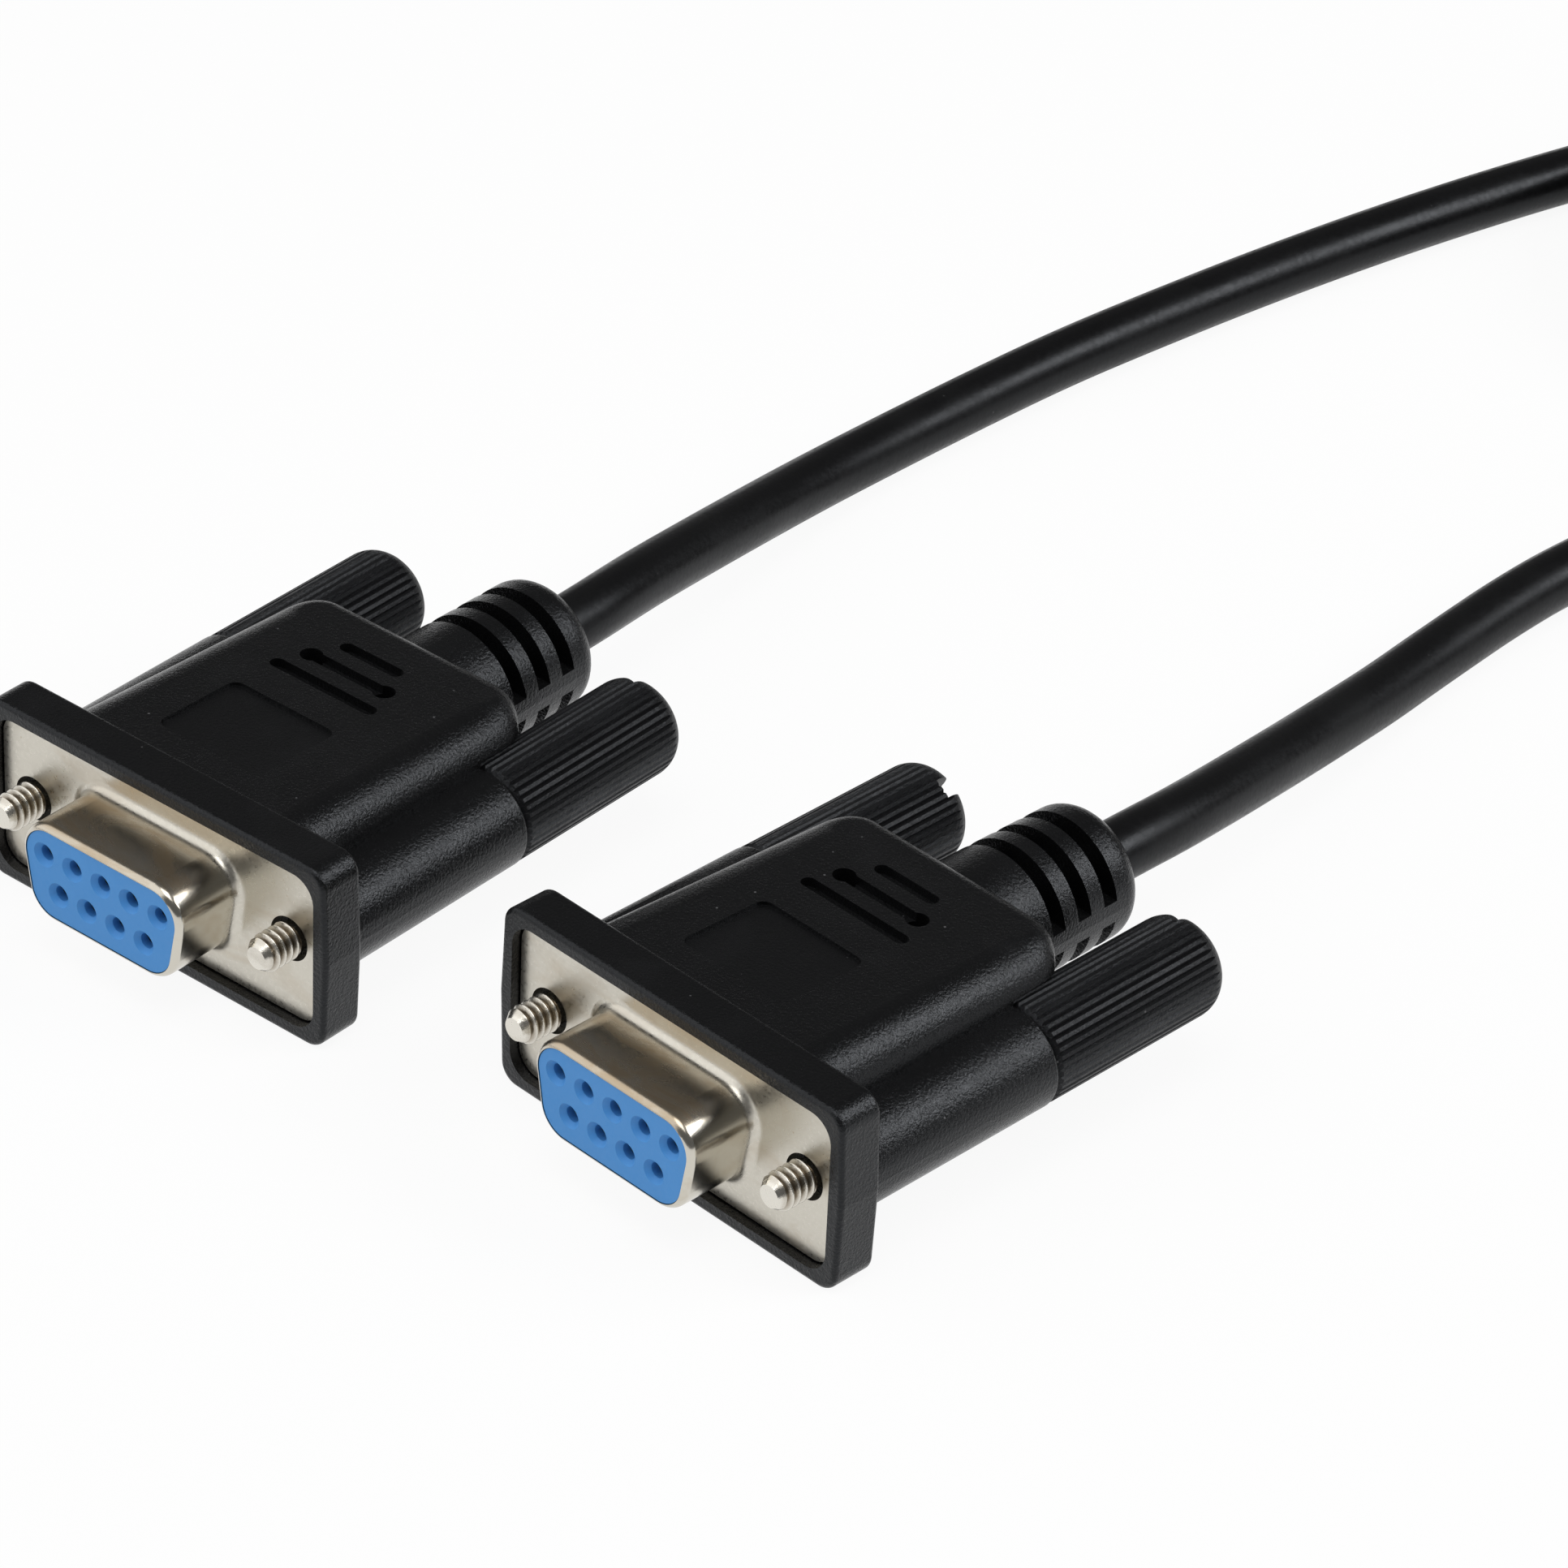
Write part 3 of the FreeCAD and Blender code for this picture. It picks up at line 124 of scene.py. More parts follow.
class Nodes:
    """Short way to add and join shader nodes of one tree."""

    def __init__(self, tree: bpy.types.NodeTree) -> None:
        """Keeps the tree.

        Args:
            tree: the node tree that nodes are added to.
        """
        self.tree = tree

    def add(self, kind: str, **values: object) -> bpy.types.Node:
        """Adds a node and sets its properties and unlinked sockets.

        Args:
            kind: the node's type name without its ShaderNode prefix.
            values: properties of the node, or sockets by their names with underscores for spaces.

        Returns:
            The new node.
        """
        node = self.tree.nodes.new("ShaderNode" + kind)
        for name, value in values.items():
            if hasattr(node, name):
                setattr(node, name, value)
            else:
                node.inputs[name.replace("_", " ")].default_value = value
        return node

    def join(self, value: Value, target: bpy.types.NodeSocket) -> None:
        """Feeds a socket.

        Args:
            value: socket that is linked to the target, or a constant that is set on it.
            target: the socket that takes the value.
        """
        if isinstance(value, bpy.types.NodeSocket):
            self.tree.links.new(value, target)
        else:
            target.default_value = value

    def math(self, operation: str, first: Value, second: Value, clamp: bool = False) -> bpy.types.NodeSocket:
        """Works out one sum, product or other function of two values.

        Args:
            operation: name of the operation.
            first: the first value.
            second: the second value.
            clamp: whether the result is kept between 0 and 1.

        Returns:
            The socket with the result.
        """
        node = self.add("Math", operation=operation, use_clamp=clamp)
        self.join(first, node.inputs[0])
        self.join(second, node.inputs[1])
        return node.outputs[0]

    def ramp(self, source: bpy.types.NodeSocket, low: float, high: float, first: Value = 0.0,
             last: Value = 1.0) -> bpy.types.NodeSocket:
        """Carries a value from one range over to another, and stops at its ends.

        Args:
            source: socket with the value.
            low: value that becomes the first.
            high: value that becomes the last.
            first: start of the new range.
            last: end of the new range.

        Returns:
            The socket with the result.
        """
        node = self.add("MapRange", From_Min=low, From_Max=high)
        self.join(source, node.inputs["Value"])
        self.join(first, node.inputs["To Min"])
        self.join(last, node.inputs["To Max"])
        return node.outputs["Result"]

    def blend(self, share: bpy.types.NodeSocket, first: Value, second: Value) -> bpy.types.NodeSocket:
        """Mixes two colours.

        Args:
            share: socket with the share of the second colour.
            first: the first colour.
            second: the second colour.

        Returns:
            The socket with the mixed colour.
        """
        node = self.add("Mix", data_type="RGBA")
        self.join(share, node.inputs[0])
        # The sockets for colours come after those for numbers and vectors
        self.join(first, node.inputs[6])
        self.join(second, node.inputs[7])
        return node.outputs[2]

    def mixed_shader(self, share: bpy.types.NodeSocket, first: bpy.types.NodeSocket,
                     second: bpy.types.NodeSocket) -> bpy.types.NodeSocket:
        """Mixes two shaders.

        Args:
            share: socket with the share of the second shader.
            first: the first shader's output.
            second: the second shader's output.

        Returns:
            The socket with the mixed shader.
        """
        node = self.add("MixShader")
        for number, source in enumerate((share, first, second)):
            self.join(source, node.inputs[number])
        return node.outputs[0]

    def noise(self, place: bpy.types.NodeSocket, scale: Value, **values: float) -> bpy.types.NodeSocket:
        """Adds a noise texture.

        Args:
            place: socket with the coordinates.
            scale: how many bumps it has for each metre.
            values: its other settings.

        Returns:
            The socket with the noise.
        """
        node = self.add("TexNoise", **values)
        self.join(place, node.inputs["Vector"])
        self.join(scale, node.inputs["Scale"])
        return node.outputs["Fac"]


def new_group(name: str, taken: dict[str, str], given: dict[str, str]) -> bpy.types.NodeTree:
    """Makes a shader node group with named sockets.

    Args:
        name: the group's name.
        taken: type of each input, by its name.
        given: type of each output, by its name.

    Returns:
        The group, with its entry and exit nodes in it.
    """
    group = bpy.data.node_groups.new(name, "ShaderNodeTree")
    for way, sockets in (("INPUT", taken), ("OUTPUT", given)):
        for label, kind in sockets.items():
            group.interface.new_socket(label, in_out=way, socket_type="NodeSocket" + kind)
        group.nodes.new("NodeGroup" + way.title())
    return group


def speck_group() -> bpy.types.NodeTree:
    """Node group for sparse dust: a small dot at the middle of a few cells of a Voronoi pattern.

    Returns:
        The group, with one mask out.
    """
    if "specks" in bpy.data.node_groups:
        return bpy.data.node_groups["specks"]
    group = new_group("specks", {}, {"Mask": "Float"})
    make = Nodes(group)
    cells = make.add("TexVoronoi", Scale=SPECK_CELLS)
    make.join(make.add("TexCoord").outputs["Object"], cells.inputs["Vector"])
    chance = make.add("SeparateColor")
    make.join(cells.outputs["Color"], chance.inputs[0])
    dot = make.ramp(cells.outputs["Distance"], *SPECK_EDGE)
    few = make.math("GREATER_THAN", chance.outputs[0], SPECK_BARE)
    make.join(make.math("MULTIPLY", dot, few), group.nodes["Group Output"].inputs["Mask"])
    return group


def moulded_skin_group() -> bpy.types.NodeTree:
    """Node group for a moulded plastic's skin: fine grain, faint clouds, rubbed spots and specks of dust.

    Returns:
        The group, with a colour, a roughness and a height out, all changing over the surface.
    """
    if "moulded_skin" in bpy.data.node_groups:
        return bpy.data.node_groups["moulded_skin"]
    group = new_group("moulded_skin", {
        "Base": "Color", "Rubbed": "Color", "Grain Scale": "Float", "Cloud Scale": "Float",
        "Low Roughness": "Float", "High Roughness": "Float", "Dust": "Float",
    }, SKIN_OUTPUTS)
    entry, leave = group.nodes["Group Input"].outputs, group.nodes["Group Output"].inputs
    make = Nodes(group)
    place = make.add("TexCoord").outputs["Object"]
    grain = make.noise(place, entry["Grain Scale"], Detail=3.0, Roughness=0.6)
    cloud = make.noise(place, entry["Cloud Scale"], Detail=4.0, Roughness=0.55)
    tint = make.blend(make.ramp(cloud, *RUBBED_CLOUDS), entry["Base"], entry["Rubbed"])
    specks = make.add("Group", node_tree=speck_group()).outputs["Mask"]
    dusty = make.math("MULTIPLY", specks, entry["Dust"], clamp=True)
    both = make.math("MULTIPLY", make.math("ADD", grain, cloud), 0.5)
    shine = make.ramp(both, *MOULDED_SHEEN, entry["Low Roughness"], entry["High Roughness"])
    make.join(make.blend(dusty, tint, SPECK_COLOUR), leave["Color"])
    make.join(shine, leave["Roughness"])
    make.join(grain, leave["Height"])
    return group


def plated_skin_group() -> bpy.types.NodeTree:
    """Node group for plated steel: satin flange, smoother collar whose top is painted darker in patches as a
    dark reflection mixed with stains, and small stains.

    The collar is where the surface lies in front of the plate, counted along the socket's own backward
    axis. A mesh may carry an attribute named groove, which is 1 where shade is painted into a thread's
    grooves.

    Returns:
        The group, with a colour, a roughness and a height out, all changing over the surface.
    """
    if "plated_skin" in bpy.data.node_groups:
        return bpy.data.node_groups["plated_skin"]
    group = new_group("plated_skin", {
        "Bright": "Color", "Tarnish And Shade": "Color", "Grain Scale": "Float", "Low Roughness": "Float",
        "High Roughness": "Float", "Collar Roughness": "Float", "Backward": "Vector",
        "Plate Depth": "Float", "Collar Top": "Float",
    }, SKIN_OUTPUTS)
    entry, leave = group.nodes["Group Input"].outputs, group.nodes["Group Output"].inputs
    make = Nodes(group)
    place = make.add("TexCoord").outputs["Object"]
    grain = make.noise(place, entry["Grain Scale"], Detail=3.0, Roughness=0.65)
    collar = collar_mask(make, place, entry)
    stained_and_shaded = stain_and_shade_mask(make, place, entry, collar)
    satin = make.ramp(grain, *PLATED_SHEEN, entry["Low Roughness"], entry["High Roughness"])
    drawn = make.ramp(collar, 0.0, 1.0, satin, entry["Collar Roughness"])
    rougher = make.math("MULTIPLY", stained_and_shaded, STAIN_AND_SHADE_ROUGHNESS)
    # Tarnished spots, the painted dark collar top and the painted groove shade take the second colour
    make.join(make.blend(stained_and_shaded, entry["Bright"], entry["Tarnish And Shade"]), leave["Color"])
    make.join(make.math("ADD", drawn, rougher), leave["Roughness"])
    make.join(make.math("MULTIPLY", grain, make.ramp(collar, 0.0, 1.0, *GRAIN_HEIGHTS)), leave["Height"])
    return group


def collar_mask(make: Nodes, place: bpy.types.NodeSocket,
                entry: bpy.types.bpy_prop_collection) -> bpy.types.NodeSocket:
    """Mask that is 1 on the collar in front of the plate.

    Args:
        make: adds nodes to the group.
        place: socket with the coordinates.
        entry: the group's inputs.

    Returns:
        The socket with the mask.
    """
    along = make.add("VectorMath", operation="DOT_PRODUCT")
    make.join(place, along.inputs[0])
    make.join(entry["Backward"], along.inputs[1])
    depth = make.math("SUBTRACT", along.outputs["Value"], entry["Plate Depth"])
    return make.ramp(depth, *COLLAR_START)


def stain_and_shade_mask(make: Nodes, place: bpy.types.NodeSocket, entry: bpy.types.bpy_prop_collection,
               collar: bpy.types.NodeSocket) -> bpy.types.NodeSocket:
    """Mask of the tarnished and shaded places: the collar's top painted darker in patches as a dark
    reflection, faint stains, specks, and painted shade in a thread's grooves.

    Args:
        make: adds nodes to the group.
        place: socket with the coordinates.
        entry: the group's inputs.
        collar: socket with the collar's mask.

    Returns:
        The socket with the mask.
    """
    stretched = make.add("VectorMath", operation="MULTIPLY")
    make.join(place, stretched.inputs[0])
    make.join(STAIN_AND_SHADE_STRETCH, stretched.inputs[1])
    cloud = make.noise(stretched.outputs[0], STAIN_AND_SHADE_SCALE, Detail=5.0, Roughness=0.6, Distortion=0.8)
    split = make.add("SeparateXYZ")
    make.join(place, split.inputs[0])
    height = make.math("SUBTRACT", split.outputs["Z"], entry["Collar Top"])
    # The collar's top band is painted darker in patches: a painted dark reflection mixed with stains
    top = make.math("MULTIPLY", collar, make.ramp(height, *COLLAR_TOP_SHADE_BAND))
    patchy = make.math("MULTIPLY", top, make.ramp(cloud, *TOP_STAINS_AND_SHADE))
    stain_and_top_shade = make.math("MAXIMUM", patchy, make.ramp(cloud, *FAINT_STAINS))
    specks = make.add("Group", node_tree=speck_group()).outputs["Mask"]
    spotted = make.math("MAXIMUM", stain_and_top_shade, make.math("MULTIPLY", specks, SPECK_STAIN))
    # The mesh attribute named groove holds the painted shade in a thread's grooves
    groove_shade = make.add("Attribute", attribute_name="groove").outputs["Fac"]
    return make.math("MAXIMUM", spotted, groove_shade, clamp=True)


def skin_material(name: str, skin_group: bpy.types.NodeTree, settings: dict[str, Value], depth: float,
                  surface: dict[str, Value]) -> bpy.types.Material:
    """Builds, once for each name, a material whose colour, roughness and grain come from a skin group.

    Args:
        name: the material's name.
        skin_group: group with a colour, a roughness and a height out.
        settings: values of the group's inputs.
        depth: height of the grain, in metres.
        surface: constant values of the shader's own sockets.

    Returns:
        The material.
    """
    if name in bpy.data.materials:
        return bpy.data.materials[name]
    material = bpy.data.materials.new(name)
    material.use_nodes = True
    material.node_tree.nodes.clear()
    make = Nodes(material.node_tree)
    skin = make.add("Group", node_tree=skin_group)
    shader = make.add("BsdfPrincipled")
    for node, values in ((skin, settings), (shader, surface)):
        for label, value in values.items():
            node.inputs[label].default_value = value
    bump = make.add("Bump", Strength=1.0, Distance=depth)
    out = make.add("OutputMaterial")
    make.join(skin.outputs["Color"], shader.inputs["Base Color"])
    make.join(skin.outputs["Roughness"], shader.inputs["Roughness"])
    make.join(skin.outputs["Height"], bump.inputs["Height"])
    make.join(bump.outputs["Normal"], shader.inputs["Normal"])
    make.join(shader.outputs["BSDF"], out.inputs["Surface"])
    return material


@dataclass(frozen=True)
class Moulding:
    """A moulded plastic with a fine grain.

    Attributes:
        name: the material's name.
        base: its colour.
        rubbed: its colour where handling has polished it.
        grain: grain bumps for each metre.
        cloud: size of the faint patches, in patches for each metre.
        smooth: lowest roughness.
        rough: highest roughness.
        depth: height of the grain, in metres.
        specular: strength of the surface reflection.
        dust: how strongly the specks of dust show.
    """

    name: str
    base: Colour
    rubbed: Colour
    grain: float = 4400.0
    cloud: float = 140.0
    smooth: float = 0.17
    rough: float = 0.3
    depth: float = 0.00007
    specular: float = 0.3
    dust: float = 0.3

    def material(self) -> bpy.types.Material:
        """Builds the material, or finds it where it is built already.

        Returns:
            The material.
        """
        settings = {
            "Base": (*self.base, 1.0), "Rubbed": (*self.rubbed, 1.0), "Grain Scale": self.grain,
            "Cloud Scale": self.cloud, "Low Roughness": self.smooth, "High Roughness": self.rough,
            "Dust": self.dust,
        }
        surface = {"Specular IOR Level": self.specular, "Specular Tint": COOL_SHEEN}
        return skin_material(self.name, moulded_skin_group(), settings, self.depth, surface)


@dataclass(frozen=True)
class Plating:
    """A plated metal with a satin grain, tarnished spots, and painted shade on a collar's top and in thread
    grooves.

    Attributes:
        name: the material's name.
        bright: colour of the clean plating.
        tarnish_and_shade: colour of the tarnished spots, and of the painted shade on a collar's top and in
            thread grooves.
        grain: grain for each metre.
        smooth: lowest roughness.
        rough: highest roughness.
        collar: roughness of the drawn collar in front of the plate.
        collar_top: height of the collar's top above the table.
        depth: height of the grain, in metres.
        place: middle of the socket's plate, or far behind the piece where it has no collar.
        turn: the socket's turn about the vertical, in degrees.
    """

    name: str
    bright: Colour
    tarnish_and_shade: Colour
    grain: float = 3000.0
    smooth: float = 0.24
    rough: float = 0.4
    collar: float = 0.19
    collar_top: float = 0.0114
    depth: float = 0.00001
    place: tuple[float, float] = (0.0, -1.0)
    turn: float = 0.0

    def material(self) -> bpy.types.Material:
        """Builds the material, or finds it where it is built already.

        Returns:
            The material.
        """
        backward = (-math.sin(math.radians(self.turn)), math.cos(math.radians(self.turn)), 0.0)
        settings = {
            "Bright": (*self.bright, 1.0), "Tarnish And Shade": (*self.tarnish_and_shade, 1.0), "Grain Scale": self.grain,
            "Low Roughness": self.smooth, "High Roughness": self.rough, "Collar Roughness": self.collar,
            "Backward": backward, "Plate Depth": self.place[0] * backward[0] + self.place[1] * backward[1],
            "Collar Top": self.collar_top,
        }
        return skin_material(self.name, plated_skin_group(), settings, self.depth, {"Metallic": 1.0})


JACKET_PVC = Moulding("jacket_pvc", (0.0032, 0.0031, 0.0033), (0.005, 0.005, 0.005), grain=2600.0,
                      smooth=0.3, rough=0.42, depth=0.000015, specular=0.22, dust=0.1)
# The screw's second colour is for its tarnished spots and the painted shade in its thread grooves
NICKEL_SCREW = Plating("screw_nickel", (0.74, 0.71, 0.64), (0.28, 0.23, 0.17), smooth=0.16,
                       rough=0.3, depth=0.00002)
NICKEL_BRIGHT = (0.62, 0.59, 0.52)
# Colour of the plate's tarnished spots and of the painted dark reflection on its collar's top
NICKEL_TARNISH_AND_SHADE = (0.46, 0.37, 0.26)

# Material slot of the record, and the finish that both ends share
FINISHES: dict[str, Moulding | Plating] = {
    "black_pvc": Moulding("hood_pvc", (0.0032, 0.0032, 0.0034), (0.0055, 0.0055, 0.006)),
    "inner_mould": Moulding("inner_mould_plastic", (0.72, 0.7, 0.64), (0.78, 0.76, 0.7), depth=0.00001),
    "blue_insulator": Moulding("insulator_plastic", (0.072, 0.285, 0.66), (0.085, 0.31, 0.7),
                               grain=3000.0, smooth=0.4, rough=0.55, depth=0.000006, dust=0.1),
    "gold_contact": Plating("contact_gold", (0.8, 0.58, 0.24), (0.6, 0.42, 0.18)),
    "core_pvc": Moulding("conductor_pvc", (0.5, 0.1, 0.07), (0.58, 0.15, 0.1), depth=0.00001),
    "cable_jacket": JACKET_PVC,
    "black_knob": Moulding("knob_plastic", (0.0036, 0.0036, 0.004), (0.006, 0.006, 0.0065),
                           smooth=0.36, rough=0.5, depth=0.00006, specular=0.27),
    "nickel_screw": NICKEL_SCREW,
}


def mesh_piece(name: str, points: np.ndarray, faces: np.ndarray,
               finish: bpy.types.Material) -> bpy.types.Object:
    """Makes an object at the origin from points and four-cornered faces.

    Args:
        name: the piece's name.
        points: its vertices, one row each, in metres.
        faces: four vertex numbers for each face.
        finish: its material.

    Returns:
        The object, shaded smooth.
    """
    mesh = bpy.data.meshes.new(name)
    mesh.vertices.add(len(points))
    mesh.vertices.foreach_set("co", points.astype(np.float32).ravel())
    mesh.loops.add(faces.size)
    mesh.loops.foreach_set("vertex_index", faces.astype(np.int32).ravel())
    mesh.polygons.add(len(faces))
    mesh.polygons.foreach_set("loop_start", np.arange(0, faces.size, faces.shape[1], dtype=np.int32))
    mesh.update(calc_edges=True)
    mesh.validate()
    mesh.polygons.foreach_set("use_smooth", np.ones(len(mesh.polygons), dtype=bool))
    mesh.materials.append(finish)
    piece = bpy.data.objects.new(name, mesh)
    bpy.context.scene.collection.objects.link(piece)
    return piece


@dataclass
class Cable:
    """The free cable: one smooth line from socket A, through the put-away coil, to socket B.

    Attributes:
        diameter: of the jacket.
        exit_a: where it leaves socket A's strain relief.
        exit_b: where it goes back into socket B's.
        lead_a: route from socket A to the coil.
        lead_b: route from socket B to the coil.
        coil_centre: middle of the coil on the table.
        outer_turn: radius of the outer turns.
        inner_turn: radius of the inner turns.
        inward: angles wound, in degrees, between which it goes in to the inner turns.
        upward: angles wound between which it climbs to the upper layer.
        outward: angles wound between which it goes out to the outer turns again.
        points_per_turn: route points in one turn.
        turns: whole turns added to the part turn between the two leads.
        order: of the smooth curve through the route.
        steps: curve steps between two route points.
        facets: extra edges in a quarter of the round section.
    """

    diameter: float = 4.7 * MM
    exit_a: Point = (-0.04694, 0.03191, 0.0075)
    exit_b: Point = (0.0, 0.041, 0.0075)
    lead_a: tuple[Point, ...] = (
        (-0.04731, 0.03589, 0.0075), (-0.04835, 0.0407, 0.0071), (-0.0495, 0.0452, 0.00645),
        (-0.05207, 0.05579, 0.00472), (-0.05451, 0.06702, 0.00301), (-0.05548, 0.07701, 0.00235),
        (-0.0556, 0.08628, 0.00235), (-0.05554, 0.09554, 0.00235), (-0.05499, 0.10447, 0.00235),
        (-0.05377, 0.11842, 0.00235), (-0.05181, 0.13329, 0.00235), (-0.04908, 0.14804, 0.00235),
        (-0.04545, 0.16259, 0.00235), (-0.04164, 0.17397, 0.00235),
    )
    lead_b: tuple[Point, ...] = (
        (0.0, 0.045, 0.0075), (-0.0003, 0.0496, 0.00708), (-0.00121, 0.05557, 0.00623),
        (-0.00225, 0.06116, 0.00533), (-0.00342, 0.06697, 0.00433), (-0.00455, 0.0729, 0.00345),
        (-0.00551, 0.07851, 0.00278), (-0.00645, 0.08422, 0.00242), (-0.00705, 0.08955, 0.00235),
        (-0.00755, 0.09484, 0.00235), (-0.00785, 0.1016, 0.00235), (-0.0073, 0.1104, 0.00235),
        (-0.0051, 0.1206, 0.0026), (-0.0009, 0.1306, 0.0041), (0.0046, 0.1389, 0.0062),
        (0.0086, 0.14288, 0.00705),
    )
    coil_centre: tuple[float, float] = (-0.01286, 0.16434)
    outer_turn: float = 30.35 * MM
    inner_turn: float = 25.65 * MM
    inward: tuple[float, float] = (290.0, 370.0)
    upward: tuple[float, float] = (630.0, 710.0)
    outward: tuple[float, float] = (940.0, 1030.0)
    points_per_turn: int = 20
    turns: int = 3
    order: int = 3
    steps: int = 10
    facets: int = 7

    def level(self, lay: Lay) -> float:
        """Height of the middle of a layer's turns."""
        return self.diameter * (lay.value + 0.5)

    def coil(self) -> np.ndarray:
        """Route of the coil, clockwise from lead A to lead B.

        The turn's radius and height are each a straight-line blend of the angle wound so far: outer and
        low, in to the inner turn, up a layer, and out to the outer turn again.

        Returns:
            One row for each route point.
        """
        centre = np.array(self.coil_centre)
        first = np.array(self.lead_a[-1][:2]) - centre
        last = np.array(self.lead_b[-1][:2]) - centre
        start = math.atan2(first[1], first[0])
        part = (start - math.atan2(last[1], last[0])) % FULL_TURN
        whole = part + FULL_TURN * self.turns
        count = round(whole / FULL_TURN * self.points_per_turn)
        wound = np.linspace(0.0, whole, count + 1)[1:-1]
        turned = np.degrees(wound)
        radius = np.interp(turned, self.inward + self.outward,
                           (self.outer_turn, self.inner_turn, self.inner_turn, self.outer_turn))
        height = np.interp(turned, self.upward, (self.level(Lay.LOWER), self.level(Lay.UPPER)))
        angle = start - wound
        return np.column_stack((centre[0] + radius * np.cos(angle),
                                centre[1] + radius * np.sin(angle), height))

    def line(self) -> bpy.types.Curve:
        """Draws the cable's line: a smooth curve near all route points, with the jacket's thickness.

        Returns:
            The curve.
        """
        route = np.vstack((self.exit_a, self.lead_a, self.coil(), self.lead_b[::-1], self.exit_b))
        line = bpy.data.curves.new("cable", "CURVE")
        line.dimensions = "3D"
        line.resolution_u = self.steps
        line.bevel_depth = self.diameter / 2
        line.bevel_resolution = self.facets
        line.use_fill_caps = True
        spline = line.splines.new("NURBS")
        spline.points.add(len(route) - 1)
        spline.points.foreach_set("co", np.hstack((route, np.ones((len(route), 1)))).ravel())
        spline.order_u = self.order
        spline.use_endpoint_u = True
        line.materials.append(JACKET_PVC.material())
        return line

    def build(self) -> bpy.types.Object:
        """Returns:
            The curve object.
        """
        line = self.line()
        piece = bpy.data.objects.new("cable", line)
        bpy.context.scene.collection.objects.link(piece)
        length = self.length(line)
        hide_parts("cable_lead_a", "cable_coil", "cable_lead_b")
        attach(piece, "cable_assembly")
        LOG.info("cable: %.2f m of jacket", length)
        return piece

    @staticmethod
    def length(line: bpy.types.Curve) -> float:
        """Length of the cable's own line, to the centimetre.

        Args:
            line: the curve, of which a copy without thickness is measured.

        Returns:
            The length in metres.
        """
        thin = line.copy()
        thin.bevel_depth = 0.0
        probe = bpy.data.objects.new("probe", thin)
        mesh = bpy.data.meshes.new_from_object(probe)
        points = np.zeros(len(mesh.vertices) * 3)
        mesh.vertices.foreach_get("co", points)
        bpy.data.objects.remove(probe)
        bpy.data.curves.remove(thin)
        bpy.data.meshes.remove(mesh)
        steps = np.diff(points.reshape(-1, 3), axis=0)
        return round(float(np.linalg.norm(steps, axis=1).sum()), 2)


